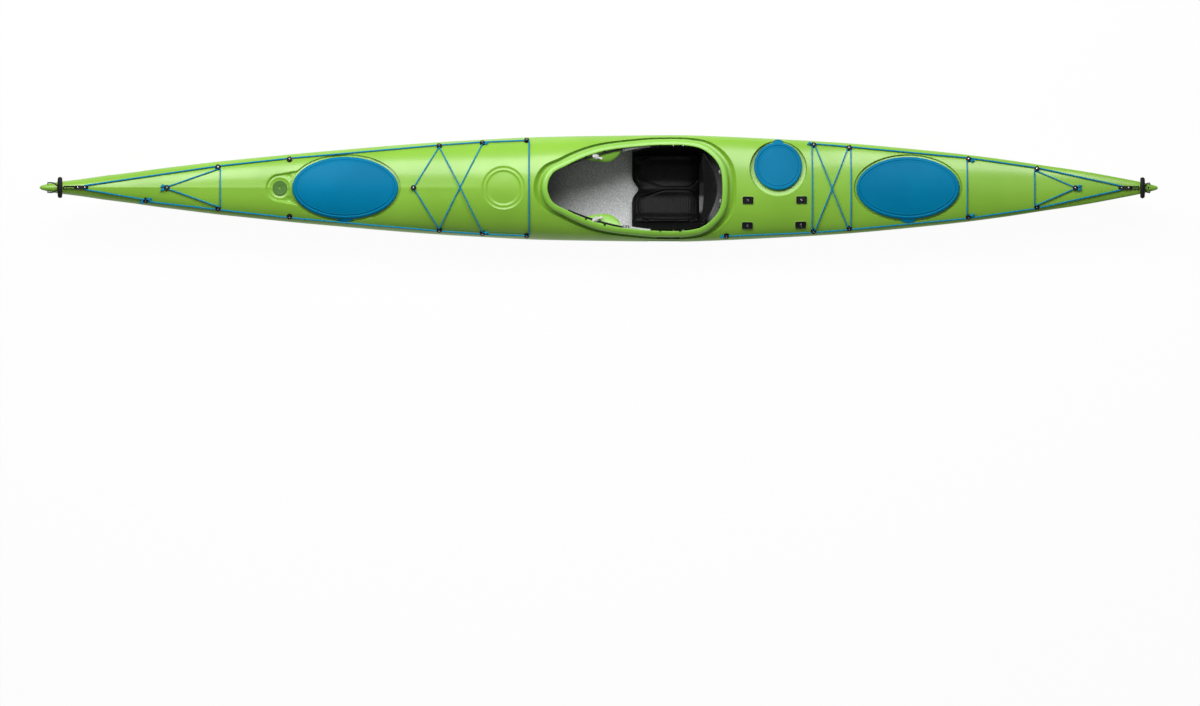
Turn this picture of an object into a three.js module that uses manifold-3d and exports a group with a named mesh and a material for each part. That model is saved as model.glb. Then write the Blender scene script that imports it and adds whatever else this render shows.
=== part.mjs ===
// A touring sea kayak: a moulded hull and deck with a cockpit, three hatches, a drop skeg,
// deck lines and carry toggles. Millimetres, +Z up, bow towards -X, starboard towards +Y.
// The origin is under the middle of the hull, on the plane that the keel rests on.
import * as THREE from "three";
import { mergeVertices } from "three/addons/utils/BufferGeometryUtils.js";
import Module from "manifold-3d";

const wasm = await Module();
wasm.setup();

// Driving sizes of the boat
const hullLength = 5300;
const hullBeam = 508;
const bowHeight = 325;
const shellWall = 4;
const fitGap = 0.3;
const cutOverrun = 40;
const weldDistance = 0.001;

// Lines of the hull from bow to stern. Each row holds the place as a share of the length, the
// half breadth as a share of the half beam, the keel, gunwale seam and deck crown as shares of
// the bow height, and the fullness power of the section under the seam.
const hullLineShares = [
  [0, 0.03, 0.945, 0.955, 0.985, 1.15],
  [0.0107, 0.093, 0.81, 0.915, 0.998, 1.15],
  [0.0251, 0.131, 0.68, 0.895, 1, 1.15],
  [0.0394, 0.168, 0.548, 0.875, 1, 1.15],
  [0.0537, 0.215, 0.431, 0.852, 0.988, 1.15],
  [0.0824, 0.29, 0.246, 0.806, 0.957, 1.16],
  [0.1038, 0.355, 0.182, 0.77, 0.937, 1.18],
  [0.1253, 0.411, 0.154, 0.735, 0.92, 1.22],
  [0.154, 0.486, 0.126, 0.689, 0.883, 1.28],
  [0.19, 0.565, 0.105, 0.631, 0.842, 1.37],
  [0.2328, 0.654, 0.085, 0.582, 0.826, 1.5],
  [0.2731, 0.729, 0.062, 0.554, 0.83, 1.64],
  [0.3259, 0.822, 0.034, 0.52, 0.862, 1.84],
  [0.3688, 0.884, 0.012, 0.495, 0.888, 2],
  [0.405, 0.925, 0, 0.486, 0.908, 2.1],
  [0.4297, 0.953, 0, 0.477, 0.923, 2.16],
  [0.4476, 0.966, 0, 0.472, 0.902, 2.2],
  [0.5, 0.986, 0, 0.465, 0.858, 2.26],
  [0.5479, 0.998, 0, 0.461, 0.806, 2.3],
  [0.5694, 1, 0, 0.459, 0.785, 2.3],
  [0.6186, 0.968, 0, 0.456, 0.745, 2.26],
  [0.641, 0.946, 0, 0.455, 0.755, 2.24],
  [0.6697, 0.916, 0, 0.456, 0.745, 2.2],
  [0.6912, 0.892, 0.012, 0.46, 0.726, 2.15],
  [0.727, 0.841, 0.034, 0.48, 0.698, 2.02],
  [0.7762, 0.748, 0.06, 0.514, 0.71, 1.82],
  [0.8272, 0.636, 0.085, 0.555, 0.72, 1.62],
  [0.8702, 0.516, 0.108, 0.606, 0.73, 1.44],
  [0.8988, 0.423, 0.13, 0.65, 0.75, 1.32],
  [0.9275, 0.334, 0.15, 0.692, 0.772, 1.24],
  [0.9561, 0.228, 0.18, 0.732, 0.797, 1.18],
  [0.9705, 0.17, 0.255, 0.752, 0.81, 1.15],
  [0.9848, 0.112, 0.446, 0.768, 0.818, 1.15],
  [1, 0.03, 0.72, 0.745, 0.775, 1.15],
];
const deckPower = 1.85;
const keelFlatShare = 0.16;
const sideSteps = 6;
const cavityStartShare = 0.045;
const cavityEndShare = 0.965;

// Cockpit coaming: the inner edge, as shares of its length and of its half width
const coamingLength = 829;
const coamingHalfWidth = 203.5;
const coamingFrontShare = 0.4536;
const coamingOutlineShares = [
  [0, 0], [0.03, 0.33], [0.106, 0.51], [0.222, 0.73], [0.332, 0.865], [0.532, 0.97],
  [0.65, 1], [0.807, 0.985], [0.887, 0.9], [0.95, 0.7], [0.988, 0.45], [1, 0],
];
const coamingPoints = 28;
const coamingRear = (coamingFrontShare - 0.5) * hullLength + coamingLength;
const coamingWall = 5;
const coamingRise = 16;
const coamingRimWidth = 29;
const coamingLipDrop = 9;
const coamingFoot = 12;
const coamingGrooveDepth = 16;
const coamingGrooveMargin = 8;
const coamingBedding = 1.5;
const flangeLap = 5;
const flangeSink = 1.5;
const flangeThickness = 2;
const panWall = 4;

// Thigh hooks: where they start and end along the coaming, and how far they reach in
const thighHookStartShare = 0.19;
const thighHookEndShare = 0.425;
const thighHookReach = 52;
const thighHookDrop = 22;
const thighHookThickness = 6;
const thighHookSteps = 6;
const thighHookSwellShares = [0.15, 0.85];

// Share of the boat's length for a place that is a share of the deck behind the cockpit
function behindCockpit(share) {
  return (coamingRear + share * (hullLength / 2 - coamingRear)) / hullLength + 0.5;
}

// Hatches: half lengths and half widths of the lids, and the rim that they close on
const bowHatch = {
  centreShare: 0.2727, side: 0, halfLength: 251, halfWidth: 148, tabReach: 11, tabHalfWidth: 38,
};
const sternHatch = {
  centreShare: behindCockpit(0.4266), side: 0, halfLength: 245, halfWidth: 148, tabReach: 16,
  tabHalfWidth: 36,
};
const dayHatch = {
  centreShare: behindCockpit(0.1287), side: 104, halfLength: 114, halfWidth: 114, tabReach: 14,
  tabHalfWidth: 25,
};
const dayRecess = {
  centreShare: behindCockpit(0.1292), side: 92, halfLength: 136, halfWidth: 133,
};
const dayHatchSink = 25;
const dayHatchTilt = 0.22;
const hatchPoints = 20;
const hatchRimWidth = 4;
const hatchRimInset = 9;
const hatchRimDrop = 1;
const hatchRecessDepth = 9;
const hatchRecessMargin = 9;
const recessSlope = 3;
const lidRise = 9;
const lidEdgeRise = 3.5;
const lidSkin = 4;
const lidBevel = 8;
const lidMidShare = 0.45;
const lidOuterShare = 0.78;

// Recesses in the foredeck
const compassCentreShare = 0.2142;
const compassRadius = 44;
const compassDepth = 12;
const badgeCentreShare = 0.4143;
const badgeRadius = 76;
const badgeDepth = 5;
const recessPoints = 16;

// Bulkheads
const bulkheadThickness = 6;
const bulkheadGap = 1.1;
const bowBulkheadShare = 0.3295;
const cockpitBulkheadShare = behindCockpit(0.0428);
const sternBulkheadShare = behindCockpit(0.2541);

// Deck fittings, as shares of the length and of the local half breadth, starboard positive.
// Those aft of the cockpit stand behind it.
const fittingRadius = 13;
const fittingHeight = 14;
const fittingShoulder = 8;
const fittingSides = 8;
const lidFrontSetback = 33;
const lidRearSetback = 43;
const besideSternLid = (setback) => sternHatch.centreShare
  + Math.sign(setback) * (sternHatch.halfLength + Math.abs(setback)) / hullLength;
const fittingPlaceShares = {
  bow_port_line_fitting: [0.0947, -0.71],
  bow_centre_fitting: [0.1137, 0],
  foredeck_fitting_1_starboard: [0.1589, 0.763],
  foredeck_fitting_1_port: [0.1589, -0.763],
  foredeck_fitting_2_starboard: [0.2226, 0.835],
  foredeck_fitting_2_port: [0.2226, -0.835],
  foredeck_centre_fitting: [0.3339, 0],
  foredeck_fitting_3_starboard: [0.3566, 0.895],
  foredeck_fitting_3_port: [0.3566, -0.895],
  foredeck_fitting_4_starboard: [0.3953, 0.91],
  foredeck_fitting_4_port: [0.3953, -0.91],
  foredeck_fitting_5_starboard: [0.4349, 0.918],
  foredeck_fitting_5_port: [0.4349, -0.918],
  cockpit_fitting_port: [behindCockpit(0.0102), -0.915],
  aftdeck_fitting_1_starboard: [behindCockpit(0.2102), 0.9],
  aftdeck_fitting_1_port: [behindCockpit(0.2102), -0.9],
  aftdeck_fitting_2_starboard: [besideSternLid(-lidFrontSetback), 0.885],
  aftdeck_fitting_2_port: [besideSternLid(-lidFrontSetback), -0.885],
  aftdeck_fitting_3_starboard: [besideSternLid(lidRearSetback), 0.857],
  aftdeck_fitting_3_port: [besideSternLid(lidRearSetback), -0.857],
  aftdeck_fitting_4_starboard: [behindCockpit(0.7223), 0.79],
  aftdeck_fitting_4_port: [behindCockpit(0.7223), -0.79],
  stern_centre_fitting: [behindCockpit(0.81), 0],
};
const endFittingLength = 66;
const endFittingWidth = 20;
const endFittingHeight = 13;
const bowEndFittingShare = 0.0376;
const sternEndFittingShare = 0.9704;
const plateLength = 51;
const plateWidth = 35;
const plateThickness = 5;
const plateBedding = 0.45;
const platePlaceShares = {
  deck_plate_front_inner: [behindCockpit(0.0589), -0.236],
  deck_plate_front_outer: [behindCockpit(0.0579), -0.725],
  deck_plate_rear_inner: [behindCockpit(0.1818), -0.243],
  deck_plate_rear_outer: [behindCockpit(0.1802), -0.752],
};

// Deck lines and bungees
const lineDiameter = 7;
const bungeeDiameter = 6;
const cordSides = 5;
const knotSides = 6;
const cordClearance = 0.8;
const tunnelClearance = 0.4;
const tunnelFloor = 2.5;
const lineOutboard = 6;
const bungeeInboard = 5;
const pairSpread = 7.5;
const knotShare = 1.1;
const knotDistance = 21;
const turnRadius = 9;
const endTurnHalfWidth = 7;
const endTurnShare = 0.9;
const bungeeEndGap = 1.2;
const cornerSteps = 2;
const alongStep = 130;
const crossStep = 36;
const crossOver = 7.5;

// Carry toggles and their cords
const toggleLength = 101;
const toggleWidth = 24;
const toggleDepth = 25;
const toggleDroop = 11;
const toggleTipShare = 0.9;
const toggleTipPower = 12;
const toggleTaperShare = 0.12;
const toggleSides = 10;
const toggleSteps = 8;
const toggleCordDiameter = 5;
const toggleCordHalfSpread = 9;
const toggleCordBendShare = 0.45;
const toggleCordSideShare = 0.8;
const bowToggleShare = 0.0186;
const sternToggleShare = 0.9857;
const bowHoleShare = 0.0075;
const sternHoleShare = 0.9925;
const holeHeightShare = 0.45;
const retainingCordDiameter = 5;

// Seat, backrest and footrests
const seatRearShare = 0.885;
const seatLength = 332;
const seatWidth = 342;
const seatPanWall = 6;
const seatPanFloorHalfWidth = 36;
const seatPanBendHalfWidth = 124;
const seatPanBendHeight = 34;
const seatPanSideHeight = 96;
const seatWingHalfWidth = 192;
const seatWingHeight = 182;
const seatPadThickness = 44;
const seatPadInset = 8;
const seatPadSideInset = 3;
const seatPadLobeRise = 16;
const seatPadColumns = 16;
const seatPadRows = 12;
const seatPadEndShares = [0.08, 0.92];
const seatPadFrontWidthShare = 0.9;
const seatPadEdgeShare = 0.3;
const seatPadRidgeShare = 0.16;
const seatPadValleyShare = 0.5;
const seatPadRibShare = 0.15;
const seatPadSidePower = 6;
const seatPadEndPower = 0.4;
const backrestHeight = 138;
const backrestTop = 261;
const backrestThickness = 22;
const backrestWidth = 330;
const backrestCurve = 62;
const backrestLean = 60;
const backrestEndLean = 6;
const backrestRearShare = 0.983;
const backrestPivotShare = 0.9;
const backrestPivotHeight = 112;
const backrestSteps = 10;
const backrestEndDropShare = 0.22;
const pivotRadius = 6;
const pivotClearance = 0.4;
const earThickness = 6;
const earHalfLength = 15;
const armWidth = 18;
const armThickness = 5;
const footrestFrontShare = 0.3437;
const footrestRearShare = 0.4154;
const footrestHeight = 77;
const railDepth = 12;
const railWidth = 26;
const railFootRadius = 8;
const railFootLength = 10;
const pedalHeight = 110;
const pedalCarriageDepth = 9;
const pedalWidth = 74;
const pedalThickness = 10;
const pedalCarriageLength = 60;

// Drop skeg: the box in the hull, the blade and the slider beside the cockpit
const skegPivotShare = behindCockpit(0.5769);
const skegSlotHalfWidth = 6;
const skegBoxWall = 7;
const skegBladeLength = 235;
const skegBladeHalfThickness = 3;
const skegBladeDepth = 62;
const skegHubRadius = 16;
const skegHeelShare = 0.95;
const skegTailShares = [0.9, 0.55];
const skegBackShare = 0.5;
const skegNeckShares = [0.2, 0.55];
const skegPivotRise = 24;
const skegClearance = 7;
const skegPinRadius = 4;
const sliderStartShare = 0.5436;
const sliderLength = 152;
const sliderHeight = 45;
const sliderBody = 20;
const sliderSink = 6;
const sliderDrop = 6;
const sliderSlotLength = 92;
const sliderSlotHeight = 20;
const sliderSlotDepth = 14;
const sliderKnobLength = 24;
const roundSides = 12;

const material = (color, roughness, metalness = 0) =>
  new THREE.MeshStandardMaterial({ color, roughness, metalness });
const hullGreen = material(0x7cba3a, 0.32);
const hatchBlue = material(0x0080b4, 0.5);
const cordBlue = material(0x0a7fb8, 0.7);
const fittingBlack = material(0x16171a, 0.45);
const seatBlack = material(0x1b1c1e, 0.8);
const linerGrey = material(0x8d9092, 0.6);
const bladeGrey = material(0x3a3d40, 0.5);

// Value of one column of the hull lines at a share of the length, straight between rows.
function lineValue(column, share) {
  const found = hullLineShares.findIndex((row) => row[0] > share);
  const next = found < 0 ? hullLineShares.length - 1 : Math.max(found, 1);
  const [before, after] = [hullLineShares[next - 1], hullLineShares[next]];
  const part = THREE.MathUtils.clamp((share - before[0]) / (after[0] - before[0]), 0, 1);
  return THREE.MathUtils.lerp(before[column], after[column], part);
}

const stationX = (share) => (share - 0.5) * hullLength;
const shareAt = (x) => x / hullLength + 0.5;

// Half breadth, keel, seam and crown of the boat at a share of its length.
function linesAt(share) {
  return {
    half: (lineValue(1, share) * hullBeam) / 2,
    keel: lineValue(2, share) * bowHeight,
    seam: lineValue(3, share) * bowHeight,
    crown: lineValue(4, share) * bowHeight,
    power: lineValue(5, share),
  };
}

// Height of the deck surface over a plan point.
function deckHeight(x, y) {
  const { half, seam, crown } = linesAt(shareAt(x));
  const across = Math.min(Math.abs(y) / half, 1);
  return seam + (crown - seam) * (1 - across ** deckPower) ** (1 / deckPower);
}

// A point of the deck, its normal, and the matrix that stands a piece there.
function deckPlace(x, y, lift = 0) {
  const probe = fittingRadius / 4;
  const slopeX = (deckHeight(x + probe, y) - deckHeight(x - probe, y)) / (2 * probe);
  const slopeY = (deckHeight(x, y + probe) - deckHeight(x, y - probe)) / (2 * probe);
  const normal = new THREE.Vector3(-slopeX, -slopeY, 1).normalize();
  const point = new THREE.Vector3(x, y, deckHeight(x, y)).addScaledVector(normal, lift);
  const along = new THREE.Vector3(1, 0, 0).addScaledVector(normal, -normal.x).normalize();
  const across = new THREE.Vector3().crossVectors(normal, along);
  const matrix = new THREE.Matrix4().makeBasis(along, across, normal).setPosition(point);
  return { point, normal, matrix };
}
const deckPlaceByShares = ([lengthShare, sideShare], lift = 0) => {
  const x = stationX(lengthShare);
  return deckPlace(x, sideShare * linesAt(lengthShare).half, lift);
};

// Solids

// Geometry from rings of points. Each ring closes on itself, the rings follow each other, and
// the last joins the first when looped. Otherwise both ends are capped.
function skin(rings, looped = false) {
  const count = rings[0].length;
  const points = rings.flat();
  const faces = [];
  const quadRows = looped ? rings.length : rings.length - 1;
  for (let i = 0; i < quadRows; i++) {
    const next = (i + 1) % rings.length;
    for (let j = 0; j < count; j++) {
      const k = (j + 1) % count;
      const [a, b, c, d] = [i * count + j, i * count + k, next * count + k, next * count + j];
      faces.push(a, b, c, a, c, d);
    }
  }
  if (!looped) {
    for (const end of [0, rings.length - 1]) {
      const centre = points.length;
      points.push(rings[end].reduce((sum, p) => sum.add(p), new THREE.Vector3())
        .divideScalar(count));
      for (let j = 0; j < count; j++) {
        const pair = [end * count + j, end * count + ((j + 1) % count)];
        faces.push(centre, ...(end ? pair : pair.reverse()));
      }
    }
  }
  const geometry = new THREE.BufferGeometry().setFromPoints(points).setIndex(faces);
  return facingOut(geometry);
}

// Turns a closed geometry round if its faces point inwards.
function facingOut(geometry) {
  const index = geometry.index.array;
  const at = geometry.attributes.position;
  const corner = [0, 1, 2].map(() => new THREE.Vector3());
  let volume = 0;
  for (let i = 0; i < index.length; i += 3) {
    corner.forEach((p, j) => p.fromBufferAttribute(at, index[i + j]));
    volume += corner[0].dot(corner[1].cross(corner[2]));
  }
  if (volume < 0)
    for (let i = 0; i < index.length; i += 3)
      [index[i + 1], index[i + 2]] = [index[i + 2], index[i + 1]];
  return geometry;
}

// A closed geometry as a solid that can be joined and cut.
function solid(geometry) {
  const bare = geometry.index ? geometry.toNonIndexed() : geometry.clone();
  bare.deleteAttribute("normal");
  bare.deleteAttribute("uv");
  const merged = mergeVertices(bare, weldDistance);
  const index = merged.index.array;
  const faces = [];
  for (let i = 0; i < index.length; i += 3) {
    const [a, b, c] = index.slice(i, i + 3);
    if (a !== b && b !== c && c !== a) faces.push(a, b, c);
  }
  return new wasm.Manifold(new wasm.Mesh({
    numProp: 3,
    vertProperties: new Float32Array(merged.attributes.position.array),
    triVerts: new Uint32Array(faces),
  }));
}

function geometryOf(made) {
  const mesh = made.getMesh();
  const positions = new Float32Array(mesh.numVert * 3);
  for (let i = 0; i < mesh.numVert; i++)
    positions.set(mesh.vertProperties.subarray(i * mesh.numProp, i * mesh.numProp + 3), i * 3);
  const geometry = new THREE.BufferGeometry();
  geometry.setAttribute("position", new THREE.BufferAttribute(positions, 3));
  geometry.setIndex(new THREE.BufferAttribute(new Uint32Array(mesh.triVerts), 1));
  const flat = geometry.toNonIndexed();
  flat.computeVertexNormals();
  return flat;
}

const block = (x0, x1, y0, y1, z0, z1) =>
  new THREE.BoxGeometry(x1 - x0, y1 - y0, z1 - z0)
    .translate((x0 + x1) / 2, (y0 + y1) / 2, (z0 + z1) / 2);

const rod = (radius, from, to, sides = roundSides) => {
  const along = new THREE.Vector3().subVectors(to, from);
  const turn = new THREE.Quaternion().setFromUnitVectors(
    new THREE.Vector3(0, 1, 0), along.clone().normalize());
  return new THREE.CylinderGeometry(radius, radius, along.length(), sides)
    .applyQuaternion(turn).translate(...from.clone().lerp(to, 0.5).toArray());
};

// A plate cut to an outline in the XZ plane, with its thickness across the boat.
function sidePlate(outline, y0, y1) {
  const shape = new THREE.Shape(outline.map(([x, z]) => new THREE.Vector2(x, z)));
  return new THREE.ExtrudeGeometry(shape, { depth: y1 - y0, bevelEnabled: false })
    .rotateX(Math.PI / 2).translate(0, y1, 0);
}

// A bar along the boat with an outline in the YZ plane
function lengthwiseBar(outline, x0, x1) {
  const shape = new THREE.Shape(outline.map(([y, z]) => new THREE.Vector2(y, z)));
  const turn = new THREE.Matrix4().makeBasis(new THREE.Vector3(0, 1, 0),
    new THREE.Vector3(0, 0, 1), new THREE.Vector3(1, 0, 0));
  return new THREE.ExtrudeGeometry(shape, { depth: x1 - x0, bevelEnabled: false })
    .applyMatrix4(turn).translate(x0, 0, 0);
}

// A path that passes straight from point to point, with one tube ring at each point.
class Route extends THREE.Curve {
  constructor(points) {
    super();
    this.points = points;
  }
  getPoint(t, target = new THREE.Vector3()) {
    const place = t * (this.points.length - 1);
    const i = Math.min(Math.floor(place + weldDistance), this.points.length - 2);
    return target.lerpVectors(this.points[i], this.points[i + 1], place - i);
  }
  getPointAt(u, target) {
    return this.getPoint(u, target);
  }
  getTangentAt(u, target = new THREE.Vector3()) {
    const last = this.points.length - 1;
    const i = Math.round(u * last);
    const here = this.points[i];
    const back = new THREE.Vector3().subVectors(here, this.points[Math.max(i - 1, 0)]);
    const ahead = new THREE.Vector3().subVectors(this.points[Math.min(i + 1, last)], here);
    return target.addVectors(back.normalize(), ahead.normalize()).normalize();
  }
}

function tube(points, diameter, sides = cordSides) {
  const section = new THREE.Shape();
  for (let i = 0; i < sides; i++) {
    const angle = (2 * Math.PI * i) / sides;
    const place = [Math.cos(angle), Math.sin(angle)].map((part) => (part * diameter) / 2);
    section[i ? "lineTo" : "moveTo"](...place);
  }
  const path = new Route(points);
  const steps = points.length - 1;
  return new THREE.ExtrudeGeometry(section, { steps, bevelEnabled: false, extrudePath: path });
}

// Hull and deck shells

// Half section from the starboard seam to the port seam, under the seam or over it. A section
// with a reach past the seam goes on that far with straight walls.
function sectionRing(share, inset, overDeck, seamShift, past = 0) {
  const { half, keel, seam, crown, power } = linesAt(share);
  const x = stationX(share);
  const side = half - inset;
  const flat = overDeck ? 0 : keelFlatShare * side;
  const reach = overDeck ? crown - inset - seam : keel + inset - seam;
  const bend = 2 / (overDeck ? deckPower : power);
  const ring = [];
  for (const hand of [1, -1]) {
    for (let i = 0; i <= sideSteps; i++) {
      const step = hand > 0 ? i : sideSteps - i;
      if (overDeck && hand < 0 && i === 0) continue;
      const angle = (Math.PI / 2) * (step / sideSteps);
      const y = hand * (flat + (side - flat) * Math.cos(angle) ** bend);
      const z = step ? seam + reach * Math.sin(angle) ** bend : seam + seamShift;
      ring.push(new THREE.Vector3(x, step === sideSteps ? hand * flat : y, z));
    }
  }
  if (past)
    for (const hand of [-1, 1]) ring.push(new THREE.Vector3(x, hand * side, seam + past));
  return ring;
}

const allShares = hullLineShares.map((row) => row[0]);
const cavityShares = [
  cavityStartShare,
  ...allShares.filter((share) => share > cavityStartShare && share < cavityEndShare),
  cavityEndShare,
];
const loft = (shares, ...section) =>
  solid(skin(shares.map((share) => sectionRing(share, ...section))));

// The hollow inside a shell also takes out the space past the seam, so the shell stays open.
function shell(overDeck) {
  const seamShift = overDeck ? fitGap : 0;
  const outer = loft(allShares, 0, overDeck, seamShift);
  const past = overDeck ? -cutOverrun : cutOverrun;
  return outer.subtract(loft(cavityShares, shellWall, overDeck, 0, past));
}

let hull = shell(false);
let deck = shell(true);

// Round outlines in plan, with the outward direction at each point
function closedOutline(points) {
  const count = points.length;
  return points.map((point, i) => {
    const along = new THREE.Vector2().subVectors(
      points[(i + 1) % count], points[(i + count - 1) % count]).normalize();
    return { point, outward: new THREE.Vector2(along.y, -along.x) };
  });
}

function ellipseOutline({ centreShare, side, halfLength, halfWidth }, count) {
  const points = [];
  for (let i = 0; i < count; i++) {
    const angle = (2 * Math.PI * i) / count;
    points.push(new THREE.Vector2(
      stationX(centreShare) + halfLength * Math.cos(angle),
      side + halfWidth * Math.sin(angle)));
  }
  return closedOutline(points);
}

function coamingOutline() {
  const half = coamingOutlineShares;
  const mirrored = half.slice(1, -1).reverse().map(([x, y]) => [x, -y]);
  const corners = [...half, ...mirrored].map(([x, y]) => new THREE.Vector3(
    stationX(coamingFrontShare) + x * coamingLength, y * coamingHalfWidth, 0));
  const curve = new THREE.CatmullRomCurve3(corners, true);
  const points = curve.getSpacedPoints(coamingPoints).slice(0, -1)
    .map((p) => new THREE.Vector2(p.x, p.y)).reverse();
  return closedOutline(points);
}

// One ring for each entry of a profile. An entry stands a distance out from the outline, at a
// height over the surface that carries it; a share under 1 draws the outline to its middle.
function profileRings(outline, profile, surface = deckHeight) {
  const middle = outline.reduce((sum, { point }) => sum.add(point), new THREE.Vector2())
    .divideScalar(outline.length);
  return profile.map(({ share = 1, out = 0, up, on = surface, edge = outline }) =>
    edge.map(({ point, outward }) => {
      const plan = middle.clone().lerp(point, share).addScaledVector(outward, out);
      return new THREE.Vector3(plan.x, plan.y, on(plan.x, plan.y) + up);
    }));
}
const profileRing = (outline, profile, surface) =>
  solid(skin(profileRings(outline, profile, surface), true));
const profileDisc = (outline, profile, surface) =>
  solid(skin(profileRings(outline, profile, surface)));

// Straight-sided cutter over an outline, drawn out by a distance.
const cutter = (outline, out, low, high) => profileDisc(outline, [
  { out, up: low, on: () => 0 }, { out, up: high, on: () => 0 }]);

// Outer edge of a moulded recess: a thin flange inside the deck skin, and the slope down
const recessFlange = (out, edge) => [
  { out: out + flangeLap, up: -flangeSink - flangeThickness, on: deckHeight, edge },
  { out: out + flangeLap, up: -flangeSink, on: deckHeight, edge },
  { out, up: -flangeSink, on: deckHeight, edge },
];
const holeOut = (out) => out + flangeLap / 2;
const aboveDeck = bowHeight + cutOverrun;

// Cockpit: the groove under the coaming rim is part of the deck
const cockpitEdge = coamingOutline();
const grooveOut = coamingRimWidth + coamingGrooveMargin;
deck = deck
  .subtract(cutter(cockpitEdge, holeOut(grooveOut), shellWall, aboveDeck))
  .add(profileRing(cockpitEdge, [
    ...recessFlange(grooveOut),
    { out: grooveOut - recessSlope, up: -coamingGrooveDepth },
    { out: 0, up: -coamingGrooveDepth },
    { out: 0, up: -coamingGrooveDepth - panWall },
    { out: grooveOut, up: -coamingGrooveDepth - panWall },
  ]));

const coamingProfile = [
  { out: 0, up: -coamingGrooveDepth + coamingBedding },
  { out: coamingFoot, up: -coamingGrooveDepth + coamingBedding },
  { out: coamingWall, up: -coamingGrooveDepth / 2 },
  { out: coamingWall, up: coamingRise - coamingWall - fitGap },
  { out: coamingRimWidth - coamingWall, up: coamingRise - coamingLipDrop - panWall },
  { out: coamingRimWidth - coamingWall, up: 0 },
  { out: coamingRimWidth, up: 0 },
  { out: coamingRimWidth, up: coamingRise - coamingLipDrop },
  { out: coamingRimWidth - coamingFoot / 2, up: coamingRise - coamingLipDrop / 3 },
  { out: coamingWall, up: coamingRise },
  { out: 0, up: coamingRise - coamingWall / 2 },
];
let coaming = profileRing(cockpitEdge, coamingProfile);

// Half width of the cockpit opening at a share of its length
function coamingHalfAt(share) {
  const rows = coamingOutlineShares;
  const i = rows.findIndex((row) => row[0] > share);
  const part = (share - rows[i - 1][0]) / (rows[i][0] - rows[i - 1][0]);
  return THREE.MathUtils.lerp(rows[i - 1][1], rows[i][1], part) * coamingHalfWidth;
}
const cockpitX = (share) => stationX(coamingFrontShare) + share * coamingLength;

// A thigh hook swells in from the coaming wall and drops towards the paddler's knee.
function thighHook(hand) {
  const rings = [];
  for (let i = 0; i <= thighHookSteps; i++) {
    const part = i / thighHookSteps;
    const share = THREE.MathUtils.lerp(thighHookStartShare, thighHookEndShare, part);
    const swell = Math.sin(Math.PI * THREE.MathUtils.lerp(...thighHookSwellShares, part));
    const x = cockpitX(share);
    const outer = coamingHalfAt(share) + coamingWall;
    const inner = outer - coamingWall - thighHookReach * swell;
    const root = deckHeight(x, outer);
    const tip = root - thighHookDrop * swell;
    const corners = [
      [outer, root], [inner, tip], [inner, tip - thighHookThickness],
      [outer, root - 2 * thighHookThickness],
    ];
    rings.push(corners.map(([y, z]) => new THREE.Vector3(x, hand * y, z)));
  }
  return solid(skin(rings));
}
for (const hand of [1, -1]) coaming = coaming.add(thighHook(hand));

// Hatches

// The day hatch is flat: it lies in a plane that dips to starboard and is sunk in the deck.
const dayX = stationX(dayHatch.centreShare);
const dayLevel = deckHeight(dayX, dayHatch.side) - dayHatchSink;
const dayPlane = (x, y) => dayLevel - (y - dayHatch.side) * dayHatchTilt;

// Cuts the mouth of a hatch and joins its moulded recess and rim to the deck. The recess may
// have an outline of its own.
function addHatchRim(hatch, surface = deckHeight, margin = hatchRecessMargin, recess = hatch) {
  const edge = ellipseOutline(hatch, hatchPoints);
  const recessEdge = ellipseOutline(recess, hatchPoints);
  const rimIn = -hatchRimInset - hatchRimWidth;
  deck = deck
    .subtract(cutter(recessEdge, holeOut(margin), shellWall, aboveDeck))
    .add(profileRing(edge, [
      ...recessFlange(margin, recessEdge),
      { out: margin - recessSlope, up: -hatchRecessDepth, edge: recessEdge },
      { out: -hatchRimInset, up: -hatchRecessDepth },
      { out: -hatchRimInset, up: -hatchRimDrop },
      { out: rimIn, up: -hatchRimDrop },
      { out: rimIn, up: -hatchRecessDepth - panWall },
      { out: margin, up: -hatchRecessDepth - panWall, edge: recessEdge },
    ], surface));
}

// A soft lid: a crowned top, a skirt outside the rim, and a pull tab on one side.
function hatchLid(hatch, surface, tabHand) {
  const edge = ellipseOutline(hatch, hatchPoints);
  const skirtIn = -hatchRimInset + fitGap;
  const under = -hatchRimDrop + 2 * fitGap;
  const plugIn = skirtIn - hatchRimWidth - lidBevel;
  const lid = profileDisc(edge, [
    { share: 0, up: lidRise },
    { share: lidMidShare, up: lidRise },
    { share: lidOuterShare, up: lidRise },
    { out: -lidBevel, up: lidRise - lidEdgeRise / 2 },
    { out: 0, up: lidEdgeRise },
    { out: 0, up: -hatchRecessDepth + hatchRimDrop },
    { out: skirtIn, up: -hatchRecessDepth + hatchRimDrop },
    { out: skirtIn, up: under },
    { out: plugIn, up: under },
    { out: plugIn - lidSkin, up: lidRise - lidSkin },
    { share: lidMidShare, up: lidRise - lidSkin },
    { share: 0, up: lidRise - lidSkin },
  ], surface);
  const x = stationX(hatch.centreShare);
  const tabRings = [-1, -0.5, 0.5, 1].map((part) => {
    const root = hatch.side + tabHand * (hatch.halfWidth - lidBevel);
    const tip = root + tabHand * (lidBevel + hatch.tabReach * (1 - part ** 2 / 2));
    const at = x + part * hatch.tabHalfWidth;
    const top = (y) => surface(at, y) + lidEdgeRise - fitGap;
    const low = (y) => surface(at, y) + 3 * fitGap;
    return [[root, top(root)], [tip, top(tip)], [tip, low(tip)], [root, low(root)]]
      .map(([y, z]) => new THREE.Vector3(at, y, z));
  });
  return lid.add(solid(skin(tabRings)));
}

addHatchRim(bowHatch);
addHatchRim(sternHatch);
addHatchRim(dayHatch, dayPlane, 0, dayRecess);

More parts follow.
